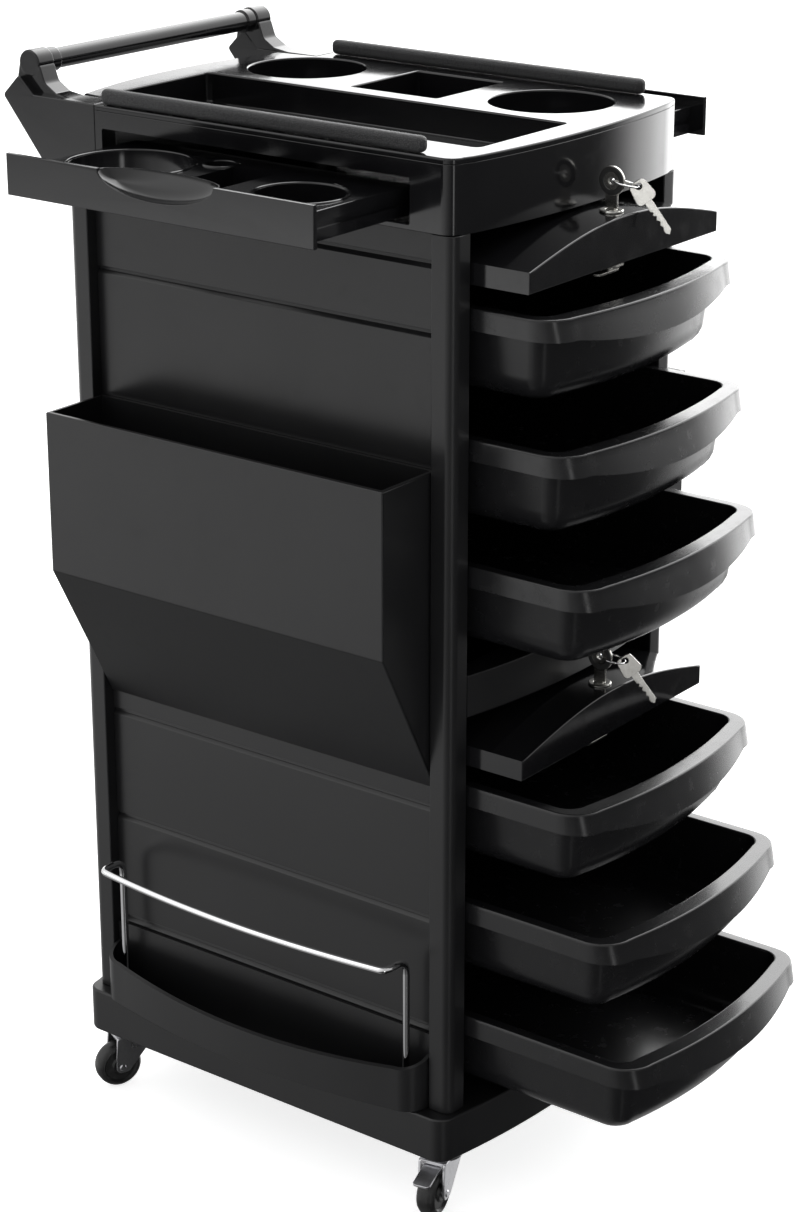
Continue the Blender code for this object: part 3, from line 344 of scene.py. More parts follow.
def gloss_recipe(place):
    """Polished black ABS: deep colour, slow waviness from the mould, faint wiping haze and dust."""
    wave = place.noise(11.0, 1.0)
    haze = place.noise(60.0, 4.0, 0.6).between(0.45, 0.8)
    dust = place.noise(1300.0, 1.0).between(0.72, 0.80)
    return {"Base Color": dust.shades((0.0045, 0.0045, 0.005), (0.02, 0.02, 0.02)),
            "Roughness": 0.11 + haze * 0.07 + dust * 0.1,
            "IOR": 1.5}, wave * 0.00035


satin_black = finish("satin_black_plastic", satin_recipe)
gloss_black = finish("gloss_black_plastic", gloss_recipe)

BASE_HALF = 0.158
BASE_END = 0.190
BASE_ROUND = 0.014
BASE_BOW = 0.014
BASE_EDGE = 0.0018
BASE_WALL = 0.004
PAD_INNER = (0.102, 0.142)           # corners of the pads that the caster plates screw to
PAD_OUTER = (0.1535, 0.1835)


def base_outline(inset=0.0):
    return bowed_plan(BASE_HALF - inset, inset - BASE_END, BASE_END - inset, BASE_ROUND - inset,
                      BASE_BOW, BASE_BOW)


base = plate("base_moulding", [base_outline()], base_low.z, base_high.z, BASE_EDGE)
room = plate("room", [base_outline(BASE_WALL)], base_low.z - 0.02, base_high.z - BASE_WALL, 0.0008)
combine(base, "DIFFERENCE", room)
pads = []
for side_x in (-1, 1):
    for side_y in (-1, 1):
        pad = ((side_x * PAD_INNER[0], side_y * PAD_INNER[1], base_low.z + 0.0004),
               (side_x * PAD_OUTER[0], side_y * PAD_OUTER[1], base_high.z - 0.002))
        pads.append(block("pad", [min(p) for p in zip(*pad)], [max(p) for p in zip(*pad)]))
combine(base, "UNION", *pads)
fit(base, satin_black, "cabinet", "satin_black_plastic", "base_tray")

# ------------------------------------------------------------------------------ corner posts
# Four ABS posts, each with one rounded outer corner, plugged into the base and the top box.

POST_LOW = base_high.z + 0.0003
POST_INNER = (0.126, 0.166)
POST_OUTER = (0.146, 0.186)
POST_ROUND = 0.008
post_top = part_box("post_front_left")[1].z
post_plan = rounded([(*POST_INNER, 0.0006), (POST_OUTER[0], POST_INNER[1], 0.001),
                     (*POST_OUTER, POST_ROUND), (POST_INNER[0], POST_OUTER[1], 0.001)])
post = plate("post_rear_right", [post_plan], POST_LOW, post_top, 0.0005)
TO_FRONT = Matrix.Scale(-1, 4, (0, 1, 0))
posts = {"post_rear_right": post,
         "post_rear_left": copy_of(post, "post_rear_left", MIRROR),
         "post_front_right": copy_of(post, "post_front_right", TO_FRONT),
         "post_front_left": copy_of(post, "post_front_left", MIRROR @ TO_FRONT)}
for node, piece in posts.items():
    piece.name = "corner_" + node
    fit(piece, satin_black, "cabinet", "satin_black_plastic", node)

# ------------------------------------------------------------------------------ side panels
# ABS sheets between the posts, planked by shallow horizontal grooves, and the rail between the
# two groups of drawers. The runner racks and the back panel behind them keep their CAD shape.

PANEL_FACE = 0.1365
PANEL_THICK = 0.0035
PANEL_HALF = 0.1657
GROOVE_LEVELS = (0.158, 0.251, 0.345, 0.716, 0.767)     # lower edge of each groove
GROOVE = ((0, 0), (0.0005, 0.0010), (0.0026, 0.0030), (0.0028, 0.0058), (0.0003, 0.0061), (0, 0.0064))
profile = [(PANEL_FACE - PANEL_THICK, POST_LOW), (PANEL_FACE, POST_LOW)]
for level in GROOVE_LEVELS:
    profile += [(PANEL_FACE - depth, level + rise) for depth, rise in GROOVE]
profile += [(PANEL_FACE, post_top), (PANEL_FACE - PANEL_THICK, post_top)]
panel = plate("panel_right", [profile], -PANEL_HALF, PANEL_HALF, 0.0001, "Y", 0)
panel_left = copy_of(panel, "panel_left", MIRROR)
fit(panel, satin_black, "cabinet", "satin_black_plastic", "side_panel_right", sharp=20)
fit(panel_left, satin_black, "cabinet", "satin_black_plastic", "side_panel_left", sharp=20)

rail_low, rail_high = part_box("middle_rail")
RAIL_HALF = 0.1257
RAIL_BOW = 0.0138
RAIL_BACK = -0.170
rail_plan = [(RAIL_HALF * (i / 16 - 1), -POST_OUTER[1] - RAIL_BOW * (1 - (i / 16 - 1) ** 2))
             for i in range(33)]
rail_plan += [(RAIL_HALF, RAIL_BACK), (-RAIL_HALF, RAIL_BACK)]
rail = plate("drawer_group_rail", [rail_plan], rail_low.z, rail_high.z, 0.0012)
fit(rail, satin_black, "cabinet", "satin_black_plastic", "middle_rail")

for node in ("runner_rack_left", "runner_rack_right", "back_panel"):
    for socket in range(len(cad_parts[node].data.materials)):
        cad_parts[node].data.materials[socket] = satin_black

# ------------------------------------------------------------------------------ top box
# Polished ABS box under the top tray: bowed apron in front, bowed back, and a long mouth in each
# side for a pull-out tray. The handle's arms fill a notch at each rear corner.

BOX_HALF = 0.146
BOX_END = 0.186
BOX_ROUND = 0.012
BOX_WALL = 0.004
APRON_HALF = 0.130
APRON_BOW = 0.012
BACK_BOW = 0.021
NOTCH = (0.1217, 0.1537)             # where the handle's arms start, in x and y
MOUTH_HALF = 0.147
MOUTH_ROUND = 0.002
SLOT = (0.7985, 0.8325)              # lower and upper edge of the mouths
box_low, box_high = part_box("top_box")


def box_outline(inset=0.0, step=0.0015):
    outline = bowed_plan(BOX_HALF - inset, inset - BOX_END, BOX_END - inset, BOX_ROUND - inset,
                         APRON_BOW, BACK_BOW)
    return [(x, y - step if abs(x) < APRON_HALF and y < 0 else y) for x, y in outline]


box = plate("top_box_shell", [box_outline()], box_low.z, box_high.z, 0.0006)
hollow = plate("hollow", [box_outline(BOX_WALL, 0)], box_low.z + 0.003, box_high.z + 0.02, 0.0005)
mouth_outline = rounded([(-MOUTH_HALF, SLOT[0], MOUTH_ROUND), (MOUTH_HALF, SLOT[0], MOUTH_ROUND),
                         (MOUTH_HALF, SLOT[1], MOUTH_ROUND), (-MOUTH_HALF, SLOT[1], MOUTH_ROUND)])
mouths = [plate("mouth", [mouth_outline], start, stop, 0.0001, "X", 0)
          for start, stop in ((-0.16, -0.138), (0.138, 0.16))]
notches = [block("notch", (start, NOTCH[1], 0.78), (stop, 0.22, 0.87))
           for start, stop in ((-0.17, -NOTCH[0]), (NOTCH[0], 0.17))]
combine(box, "DIFFERENCE", hollow, *mouths, *notches)
fit(box, gloss_black, "cabinet", "gloss_black_plastic", "top_box")

# ------------------------------------------------------------------------------ top tray
# One polished ABS moulding about 2.5 mm thick: a long tool well, two cup wells and a square well
# between them, all with soft lips. Its edge drops over the box and stops at a thin shadow line.

TRAY_TOP = 0.850
TRAY_WALL = 0.0014
TRAY_DROP = 0.0040                   # height of the tray's turned-down edge
LIP = 0.0014
WELL_DEPTH = 0.024
WELL_ROUND = 0.0022                  # fillet round the wells' floors
CUP = 0.048
CUP_X = 0.075
CUP_Y = (0.1255, -0.1145)


def circle(cx, cy, radius, steps=64):
    turn = 2 * math.pi / steps
    return [(cx + radius * math.cos(turn * i), cy + radius * math.sin(turn * i)) for i in range(steps)]


def rectangle(x0, x1, y0, y1, radius):
    return rounded([(x0, y0, radius), (x1, y0, radius), (x1, y1, radius), (x0, y1, radius)])


wells = [((-0.0445, 0.0015), rectangle(-0.101, 0.012, -0.1735, 0.1765, 0.005)),
         ((CUP_X, 0.004), rectangle(0.031, 0.119, -0.038, 0.046, 0.002)),
         *(((CUP_X, cup_y), circle(CUP_X, cup_y, CUP)) for cup_y in CUP_Y)]


def tray_outline():
    """The box's outline with the rear corners cut away for the arms."""
    points = [p for p in box_outline() if not (p[1] > NOTCH[1] and abs(p[0]) > NOTCH[0])]
    first = next(i for i, p in enumerate(points) if p[0] > NOTCH[0] and points[i + 1][1] > 0.16)
    points[first + 1:first + 1] = [(BOX_HALF, NOTCH[1]), NOTCH]
    return points + [(-NOTCH[0], NOTCH[1]), (-BOX_HALF, NOTCH[1])]


tray = top_face("tray_top", [tray_outline()] + [outline for centre, outline in wells], TRAY_TOP, LIP)
open_edges(tray, lambda p: abs(p.x) > 0.1215 or p.y > 0.18 or p.y < -0.18)
draw_out([(-(TRAY_DROP - 1.5 * LIP), 1, 1)], (0, 0))
for (cx, cy), outline in wells:
    reach_x = max(x for x, y in outline) - cx + 0.002
    reach_y = max(y for x, y in outline) - cy + 0.002
    open_edges(tray, lambda p: abs(p.x - cx) < reach_x and abs(p.y - cy) < reach_y)
    draw_out([(-WELL_DEPTH + 1.5 * LIP + WELL_ROUND, 0.995, 0.997),
              (-WELL_ROUND * 0.7, 1 - WELL_ROUND * 0.3 / reach_x, 1 - WELL_ROUND * 0.3 / reach_y),
              (-WELL_ROUND * 0.3, 1 - WELL_ROUND * 0.7 / reach_x, 1 - WELL_ROUND * 0.7 / reach_y)], (cx, cy))
    bpy.ops.mesh.edge_face_add()
thicken(tray, TRAY_WALL)
for vert in tray.data.vertices:
    vert.co.z = max(vert.co.z, TRAY_TOP - WELL_DEPTH - TRAY_WALL)
fit(tray, gloss_black, "cabinet", "gloss_black_plastic", "top_tray")

# ------------------------------------------------------------------------------ fences
# Two round-ended bars of grained soft-touch plastic, clipped along the tray's long sides to stop
# tools rolling off.


def grip_recipe(place):
    """Leather-grained soft plastic: pebbles of about a millimetre, their tops painted paler as a highlight
    and the cracks between them painted darker as shade.
    """
    pebble = place.node("ShaderNodeTexVoronoi", {"feature": "DISTANCE_TO_EDGE"},
                        {"Vector": place, "Scale": 620.0})
    crown_relief_and_painted_highlight = pebble.between(0.02, 0.25)
    cloud = place.noise(30.0, 3.0)
    # Painted highlight on the pebble crowns and painted shade in the cracks: the same crown mask that lifts
    # the relief also colours the crowns paler.
    return {"Base Color": crown_relief_and_painted_highlight.shades((0.012, 0.012, 0.013), (0.035, 0.035, 0.036)),
            "Roughness": 0.5 + cloud * 0.12, "IOR": 1.45}, crown_relief_and_painted_highlight * 0.00018


grip_black = finish("textured_black_plastic", grip_recipe)
fence_low, fence_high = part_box("fence_right")
FENCE_HALF = 0.0055
FENCE_REACH = 0.153
FENCE_SHIFT = 0.0035
FENCE_EDGE = 0.0042
fence_x = (fence_low.x + fence_high.x) / 2
fence_ends = [(fence_x + a * FENCE_HALF, b * FENCE_REACH - FENCE_SHIFT, 0.0054)
              for a, b in ((-1, -1), (1, -1), (1, 1), (-1, 1))]
fence = plate("fence_bar_right", [rounded(fence_ends, 8)], fence_low.z, fence_high.z, FENCE_EDGE, rings=5)
fence_left = copy_of(fence, "fence_bar_left", MIRROR)
fit(fence, grip_black, "cabinet", "textured_black_plastic", "fence_right", sharp=60)
fit(fence_left, grip_black, "cabinet", "textured_black_plastic", "fence_left", sharp=60)

# ------------------------------------------------------------------------------ push handle
# Two wing-shaped ABS arms in the box's rear corners, each with a boss set in from its outer face,
# and a round bar between them with a collar at each end.

BAR_Y = 0.227
BAR_Z = 0.8725
BAR_RADIUS = 0.008
BAR_LENGTH = 0.2434
COLLAR = 0.112                       # from the middle of the bar to where each collar starts
COLLAR_RADIUS = 0.0095
BOSS = 0.0105
WING_FOOT = 0.7953
wing = rounded([(0.154, WING_FOOT, 0.001), (0.207, WING_FOOT, 0.004), (0.2505, 0.847, 0.003),
                (0.233, 0.864, 0.003), (0.218, TRAY_TOP, 0.001), (0.154, TRAY_TOP, 0.001)])
neck = rounded([(BAR_Y + 0.018, 0.840, 0), (BAR_Y + BOSS, BAR_Z, 0), (BAR_Y - BOSS, BAR_Z, 0.004),
                (BAR_Y - 0.0155, 0.859, 0.006), (BAR_Y - 0.027, 0.852, 0.006), (BAR_Y - 0.044, 0.8497, 0),
                (BAR_Y - 0.044, 0.842, 0)])
arm = plate("handle_wing_right", [wing], 0.122, 0.146, 0.0010, "X")
rise = plate("rise", [neck], 0.1226, 0.1395, 0.0010, "X")
clear()
bpy.ops.mesh.primitive_cylinder_add(vertices=48, radius=BOSS, depth=0.0178, location=(0.131, BAR_Y, BAR_Z),
                                    rotation=(0, math.pi / 2, 0))
boss = bpy.context.object
bpy.ops.object.transform_apply(location=True, rotation=True, scale=True)
edit(boss)
pick(boss, "edges", lambda e: abs(e.verts[0].co.x - e.verts[1].co.x) < 1e-5)
bpy.ops.mesh.bevel(offset=0.0014, segments=4, affect="EDGES")
clear()
combine(arm, "UNION", rise, boss)
arm_left = copy_of(arm, "handle_wing_left", MIRROR)
fit(arm, gloss_black, "cabinet", "gloss_black_plastic", "handle_arm_right", sharp=40)
fit(arm_left, gloss_black, "cabinet", "gloss_black_plastic", "handle_arm_left", sharp=40)

clear()
bpy.ops.mesh.primitive_cylinder_add(vertices=48, radius=BAR_RADIUS, depth=BAR_LENGTH,
                                    location=(0, BAR_Y, BAR_Z), rotation=(0, math.pi / 2, 0))
bar = bpy.context.object
bar.name = "push_bar"
bpy.ops.object.transform_apply(location=True, rotation=True, scale=True)
edit(bar)
for side in (-1, 1):
    for collar in (0.1117, 0.1127):
        bpy.ops.mesh.select_all(action="SELECT")
        bpy.ops.mesh.bisect(plane_co=(side * collar, 0, 0), plane_no=(1, 0, 0))
pick(bar, "verts", lambda v: abs(v.co.x) > COLLAR)
bpy.ops.transform.resize(value=(1, COLLAR_RADIUS / BAR_RADIUS, COLLAR_RADIUS / BAR_RADIUS),
                         center_override=(0, BAR_Y, BAR_Z))
pick(bar, "edges", lambda e: all(abs(v.co.x) > 0.1215 for v in e.verts) or
     (all(COLLAR < abs(v.co.x) < COLLAR + 0.0012 for v in e.verts) and
      abs(e.verts[0].co.x - e.verts[1].co.x) < 1e-5))
bpy.ops.mesh.bevel(offset=0.0004, segments=2, affect="EDGES")
clear()
fit(bar, gloss_black, "cabinet", "gloss_black_plastic", "handle_bar", sharp=40)

# ------------------------------------------------------------------------------ side trays
# ABS trays that slide out through the box's mouths: a tall front plate with a thumb scoop, then a
# low body with a bowl ring, a comb hole, a tumbler well and a square well, the round ones beaded.

tray_low, tray_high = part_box("side_tray_right")
FRONT_X = tray_high.x
SLAB_TOP = tray_low.z + 0.022
SLAB_HALF = 0.132
SLAB_REACH = 0.128
FRONT_HALF = 0.145
FRONT_THICK = 0.004
SCOOP = (0.055, 0.018)               # half length and depth of the cut in the front plate
SCOOP_BACK = 0.0205                  # how far the scoop's bowl reaches behind the plate
SCOOP_WALL = 0.0012
BEAD = 0.0014
scoop_steps = 24
lip_height = tray_high.z
dip = [(SCOOP[0] * math.cos(math.pi * i / scoop_steps),
        lip_height - SCOOP[1] * math.sin(math.pi * i / scoop_steps)) for i in range(scoop_steps + 1)]
front_face = [(-FRONT_HALF, tray_low.z), (FRONT_HALF, tray_low.z), (FRONT_HALF, lip_height)]
front_face += dip + [(-FRONT_HALF, lip_height)]
front_plate = plate("front", [front_face], FRONT_X - FRONT_THICK, FRONT_X, 0.0006, "X")
slab = plate("slab", [rectangle(FRONT_X - SLAB_REACH, FRONT_X - 0.002, -SLAB_HALF, SLAB_HALF, 0.0015)],
             tray_low.z + 0.0004, SLAB_TOP, 0.0006)
round_wells = {"bowl": (0.060, 0.077, 0.046, -0.01), "comb": (0.098, 0.022, 0.0105, -0.01),
               "tumbler": (0.055, -0.088, 0.033, 0.004)}
cuts = []
beads = []
for label, (behind, y, radius, floor) in round_wells.items():
    x = FRONT_X - behind
    cuts.append(plate(label, [circle(x, y, radius)], tray_low.z + floor, SLAB_TOP + 0.01, 0.0005))
    clear()
    bpy.ops.mesh.primitive_torus_add(major_segments=64, minor_segments=10, major_radius=radius + 0.0024,
                                     minor_radius=BEAD, location=(x, y, SLAB_TOP - 0.0002))
    beads.append(bpy.context.object)
    bpy.ops.object.transform_apply(location=True, rotation=False, scale=False)
square_x = FRONT_X - 0.062
cuts.append(plate("square", [rectangle(square_x - 0.035, square_x + 0.035, -0.032, 0.008, 0.003)],
                  tray_low.z + 0.004, SLAB_TOP + 0.01, 0.0005))
for side_y in (-1, 1):
    groove = ((FRONT_X - 0.135, side_y * 0.1305, tray_low.z + 0.009),
              (FRONT_X - 0.006, side_y * 0.134, tray_low.z + 0.0135))
    cuts.append(block("runner_groove", [min(p) for p in zip(*groove)], [max(p) for p in zip(*groove)]))
combine(slab, "DIFFERENCE", *cuts)
side_tray = combine(front_plate, "UNION", slab, *beads)
side_tray.name = "pull_out_tray_right"

# The scoop's polished bowl: a quarter of an egg behind the cut edge, with a thin wall of its own.


def egg(name, wall, front_x):
    """Quarter of an egg, cut off at the front and at the lip; with no wall it stands above the lip."""
    clear()
    bpy.ops.mesh.primitive_uv_sphere_add(segments=64, ring_count=32, radius=1, location=(0, 0, 0))
    shape = bpy.context.object
    shape.name = name
    shape.scale = (SCOOP_BACK + wall, SCOOP[0] + wall, SCOOP[1] + wall)
    bpy.ops.object.transform_apply(location=False, rotation=False, scale=True)
    shape.data.transform(Matrix.Translation((FRONT_X - 0.003, 0, lip_height)))
    edit(shape)
    crest = lip_height - 0.0006 + (0.02 if wall == 0 else 0)
    for at, out in (((front_x, 0, 0), (1, 0, 0)), ((0, 0, crest), (0, 0, 1))):
        bpy.ops.mesh.select_all(action="SELECT")
        bpy.ops.mesh.bisect(plane_co=at, plane_no=out, clear_outer=True, use_fill=True)
    clear()
    return shape


combine(side_tray, "UNION", egg("egg_shell", SCOOP_WALL, FRONT_X - 0.0008))
combine(side_tray, "DIFFERENCE", egg("egg_room", 0, FRONT_X + 0.02))
side_tray_left = copy_of(side_tray, "pull_out_tray_left", MIRROR)
fit(side_tray, gloss_black, "side_tray_right", "satin_black_plastic", "side_tray_right", sharp=38)
fit(side_tray_left, gloss_black, "side_tray_left", "satin_black_plastic", "side_tray_left", sharp=38)

# ------------------------------------------------------------------------------ drawers
# Six alike ABS tubs with a broad rolled rim: the rim hangs on the racks, its front is the pull, and
# a skirt turns down all round it, deepest in the middle of the bowed front.


def drawer_recipe(place):
    """Semi-gloss black ABS: softer reflections than the top, faint flow marks and handling haze."""
    flow = place.noise(9.0, 2.0)
    haze = place.noise(70.0, 4.0, 0.6).between(0.45, 0.8)
    return {"Base Color": flow.shades((0.0045, 0.0045, 0.005), (0.0065, 0.0065, 0.007)),
            "Roughness": 0.22 + haze * 0.07 + flow * 0.04, "IOR": 1.5}, flow * 0.0002


drawer_black = finish("drawer_black_plastic", drawer_recipe)
DRAWER_HALF = 0.124
DRAWER_BOW = 0.011
RIM = (0.010, 0.015)                 # width at the sides, width at the front
SKIRT = (0.0165, 0.026)              # depth at the corners, depth mid front
FLARE = 0.006
CORNER = 0.025
EDGE = 0.0016
LENGTH = 0.320
EDGE_REACH = 0.004                   # nearer than this to the outline, an open edge is the rim's outer one
TUB = 0.066
TUB_WALL = 0.0018
TUB_FILLET = 0.019
TUB_TAPER = 0.004
rim_line = bowed_plan(DRAWER_HALF, 0, LENGTH, CORNER, DRAWER_BOW)
throat = bowed_plan(DRAWER_HALF - RIM[0], RIM[1], LENGTH - RIM[0], CORNER - RIM[0], DRAWER_BOW)
drawer = top_face("drawer_tub", [rim_line, throat], 0, EDGE)
edit(drawer)


def outer_edge(p):
    """True at the sides, at the back, along the bowed front and round the corners of the rim."""
    if abs(p.x) > DRAWER_HALF - EDGE_REACH or p.y > LENGTH - EDGE_REACH:
        return True
    if p.y < 0.003 - DRAWER_BOW * (1 - min(1.0, abs(p.x) / (DRAWER_HALF - CORNER)) ** 2):
        return True
    across = abs(p.x) - DRAWER_HALF + CORNER
    along = p.y - CORNER if p.y < CORNER else p.y - LENGTH + CORNER
    in_corner = across > 0 and (p.y < CORNER or along > 0)
    return in_corner and math.hypot(across, along) > CORNER - EDGE_REACH


open_edges(drawer, outer_edge)
for fall in range(4):
    draw_out([(-(SKIRT[0] - 1.5 * EDGE) / 4, 1, 1)], (0, 0))
clear()
for vert in drawer.data.vertices:
    share = max(0.0, min(1.0, (CORNER - vert.co.y) / CORNER))
    share = share * share * (3 - 2 * share)
    if vert.co.z < -1.6 * EDGE:
        fall = (-vert.co.z - 1.5 * EDGE) / (SKIRT[0] - 1.5 * EDGE)
        middle = 1 - min(1.0, abs(vert.co.x) / (DRAWER_HALF - CORNER)) ** 2
        vert.co.z -= fall * (SKIRT[1] - SKIRT[0]) * middle * share
        vert.co.y -= fall * FLARE * share * (0.45 + 0.55 * middle)
edit(drawer)
tub_centre = (0, (RIM[1] + LENGTH - RIM[0]) / 2)
tub_half = (DRAWER_HALF - RIM[0], (LENGTH - RIM[0] - RIM[1] + DRAWER_BOW) / 2)
open_edges(drawer, lambda p: p.z > -2 * EDGE)


def inset_by(amount):
    """Shares that pull the tub's outline in by an amount."""
    return 1 - amount / tub_half[0], 1 - amount / tub_half[1]


draw_out([(-(TUB - TUB_FILLET - 1.5 * EDGE), *inset_by(TUB_TAPER))], tub_centre)
for i in range(1, 7):
    turn = [math.pi / 2 * k / 6 for k in (i - 1, i)]
    inwards = TUB_FILLET * (math.cos(turn[0]) - math.cos(turn[1]))
    draw_out([(-TUB_FILLET * (math.sin(turn[1]) - math.sin(turn[0])), *inset_by(inwards))], tub_centre)
bpy.ops.mesh.edge_face_add()
clear()
for vert in drawer.data.vertices:
    vert.co.z = max(vert.co.z, -TUB + 0.0019)
thicken(drawer, TUB_WALL)
for i in range(1, 7):
    node = f"drawer_{i}"
    low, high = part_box(node)
    tub = copy_of(drawer, f"drawer_tub_{i}",
                  Matrix.Translation((0, low.y + FLARE + DRAWER_BOW - cabinet_y, high.z)))
    fit(tub, drawer_black, node, "gloss_black_plastic", node, sharp=50)
bpy.data.objects.remove(drawer)

# ------------------------------------------------------------------------------ pocket doors
# Arched ABS doors stowed flat under the top box and under the middle rail, hollow from behind,
# with a solid nose that carries the lock.

door_low, door_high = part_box("door_upper")
DOOR_HALF = 0.124
DOOR_EDGE = 0.016
DOOR_WALL = 0.003
DOOR_NOSE = 0.028                    # solid behind the front edge
BARREL = 0.0073                      # hole for the lock
LOCK_BACK = 0.015                    # from the door's front edge to the lock's middle
arch = [(-DOOR_HALF, door_low.z), (DOOR_HALF, door_low.z)]
crown_relief_and_painted_highlight = door_high.z - door_low.z
for i in range(41):
    across = 1 - 2 * i / 40
    arch.append((DOOR_HALF * across,
                 door_low.z + DOOR_EDGE + (crown_relief_and_painted_highlight - DOOR_EDGE) * math.cos(math.pi / 2 * across)))
inner_arch = [(x * (DOOR_HALF - DOOR_WALL) / DOOR_HALF,
               z + DOOR_WALL if z < door_low.z + 0.001 else z - DOOR_WALL) for x, z in arch]
front_y = door_low.y - cabinet_y
door = plate("pocket_door_upper", [arch], front_y, door_high.y - cabinet_y, 0.0012, "Y")
cavity = plate("cavity", [inner_arch], front_y + DOOR_NOSE, door_high.y - cabinet_y + 0.02, 0.0003, "Y", 0)
clear()
bpy.ops.mesh.primitive_cylinder_add(vertices=40, radius=BARREL, depth=0.08,
                                    location=(0, front_y + LOCK_BACK, door_high.z))
barrel_hole = bpy.context.object
combine(door, "DIFFERENCE", cavity, barrel_hole)
level_gap = Matrix.Translation((0, 0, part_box("door_lower")[0].z - door_low.z))
door_lower = copy_of(door, "pocket_door_lower", level_gap)
fit(door, gloss_black, "door_upper", "satin_black_plastic", "door_upper", sharp=30)
fit(door_lower, gloss_black, "door_lower", "satin_black_plastic", "door_lower", sharp=30)

# ------------------------------------------------------------------------------ locks and keys
# A nickel-plated brass cam lock through each door: flanged body and nut, turning plug with its cam,
# a key in the plug, a wire ring and a spare key hanging from it.


def nickel_recipe(place):
    """Bright nickel plate on brass: warm grey metal with fine turning marks and light wear."""
    marks = place.noise(900.0, 3.0, 0.6)
    wear = place.noise(150.0, 3.0)
    return {"Base Color": wear.shades((0.48, 0.47, 0.44), (0.66, 0.65, 0.62)), "Metallic": 1.0,
            "Roughness": 0.16 + marks * 0.14}, marks * 0.00001


def grip_ring_recipe(place):
    """Dark moulded cap round the key's bow."""
    return {"Base Color": place.noise(300.0).shades((0.01, 0.01, 0.01), (0.022, 0.022, 0.022)),
            "Roughness": 0.35}, place.noise(2500.0) * 0.00001


def chrome_recipe(place):
    """Chromium plate on drawn wire: near-mirror, with slight smears."""
    smear = place.noise(80.0, 3.0)
    return {"Base Color": smear.shades((0.80, 0.80, 0.81), (0.90, 0.90, 0.91)), "Metallic": 1.0,
            "Roughness": 0.05 + smear * 0.09}, smear * 0.00001


nickel = finish("nickel_plated_brass", nickel_recipe)
key_cap = finish("key_cap_plastic", grip_ring_recipe)
chrome = finish("chrome_wire", chrome_recipe)
LOCK_Y = front_y + LOCK_BACK
FACE = door_high.z + 0.0003
LOCK_FACE = FACE + 0.0015
KEY_HOLE = LOCK_FACE + 0.021


def turned(name, profile, centre, steps=48):
    """Piece turned on a lathe: (radius, height) points spun round the vertical through the centre."""
    wire = bpy.data.meshes.new(name)
    wire.from_pydata([(radius, 0, height) for radius, height in profile],
                     [(i, i + 1) for i in range(len(profile) - 1)], [])
    piece = bpy.data.objects.new(name, wire)
    bpy.context.scene.collection.objects.link(piece)
    edit(piece)
    bpy.ops.mesh.select_all(action="SELECT")
    bpy.ops.mesh.spin(steps=steps, angle=2 * math.pi, center=(0, 0, 0), axis=(0, 0, 1))
    bpy.ops.mesh.select_all(action="SELECT")
    bpy.ops.mesh.remove_doubles(threshold=1e-6)
    bpy.ops.mesh.normals_make_consistent(inside=False)
    clear()
    piece.data.transform(Matrix.Translation(centre))
    return piece


def ring_of(name, radius, wire, matrix, around=56, section=14):
    """Closed ring of wire, laid by the matrix."""
    clear()
    bpy.ops.mesh.primitive_torus_add(major_segments=around, minor_segments=section, major_radius=radius,
                                     minor_radius=wire, location=(0, 0, 0))
    piece = bpy.context.object
    piece.name = name
    piece.data.transform(matrix)
    return piece


def frame_at(centre, wide, high, thick):
    """Matrix that lays a drawing's own X, Y and Z along three directions at a centre."""
    return Matrix(((wide.x, high.x, thick.x, centre.x), (wide.y, high.y, thick.y, centre.y),
                   (wide.z, high.z, thick.z, centre.z), (0, 0, 0, 1)))


flange = FACE - door_high.z
lock = turned("lock_shell", [(0.0048, -0.041), (0.0070, -0.041), (0.0070, flange), (0.0090, flange),
                             (0.0090, 0.0011), (0.0083, 0.0018), (0.0056, 0.0018), (0.0048, 0.0013),
                             (0.0048, -0.041)], (0, LOCK_Y, door_high.z))
nut = plate("lock_nut", [circle(0, LOCK_Y, 0.010, 6), circle(0, LOCK_Y, 0.0069, 32)], door_low.z - 0.0045,
            door_low.z - 0.0003, 0.0004)
combine(lock, "UNION", nut)
plug_face = plate("plug", [circle(0, LOCK_Y, 0.0045, 40)], door_low.z - 0.0085, LOCK_FACE, 0.0003)
cam_plate = plate("cam", [rounded([(0.005, LOCK_Y - 0.005, 0.001), (0.005, LOCK_Y + 0.005, 0.001),
                                   (-0.022, LOCK_Y + 0.005, 0.0048),
                                   (-0.022, LOCK_Y - 0.005, 0.0048)][::-1])],
                  door_low.z - 0.009, door_low.z - 0.007, 0.0003)
key_slot = block("slot", (-0.0013, LOCK_Y - 0.0033, LOCK_FACE - 0.0184),
                 (0.0013, LOCK_Y + 0.0033, LOCK_FACE + 0.01))
combine(plug_face, "UNION", cam_plate)
combine(plug_face, "DIFFERENCE", key_slot)

KEY_HALF = 0.001
BLADE = 0.003                        # half width in the lock, and of the shoulder above it
SHOULDER = 0.0052
blade_end = LOCK_FACE - 0.018
shoulder_low = LOCK_FACE + 0.0008
shoulder_top = KEY_HOLE - 0.004
stem = plate("stem", [rounded([(LOCK_Y - BLADE, blade_end, 0.001), (LOCK_Y + BLADE, blade_end, 0.001),
                               (LOCK_Y + BLADE, shoulder_low, 0), (LOCK_Y + SHOULDER, shoulder_low, 0.0006),
                               (LOCK_Y + SHOULDER, shoulder_top, 0), (LOCK_Y - SHOULDER, shoulder_top, 0),
                               (LOCK_Y - SHOULDER, shoulder_low, 0.0006),
                               (LOCK_Y - BLADE, shoulder_low, 0)])],
             -KEY_HALF + 0.0001, KEY_HALF - 0.0001, 0.0002, "X", 1)
bow = plate("bow", [circle(LOCK_Y, KEY_HOLE, 0.011, 56), circle(LOCK_Y, KEY_HOLE, 0.0027, 28)],
            -KEY_HALF, KEY_HALF, 0.0003, "X", 2)
main_key = combine(bow, "UNION", stem)
main_key.name = "key_upper_blade"
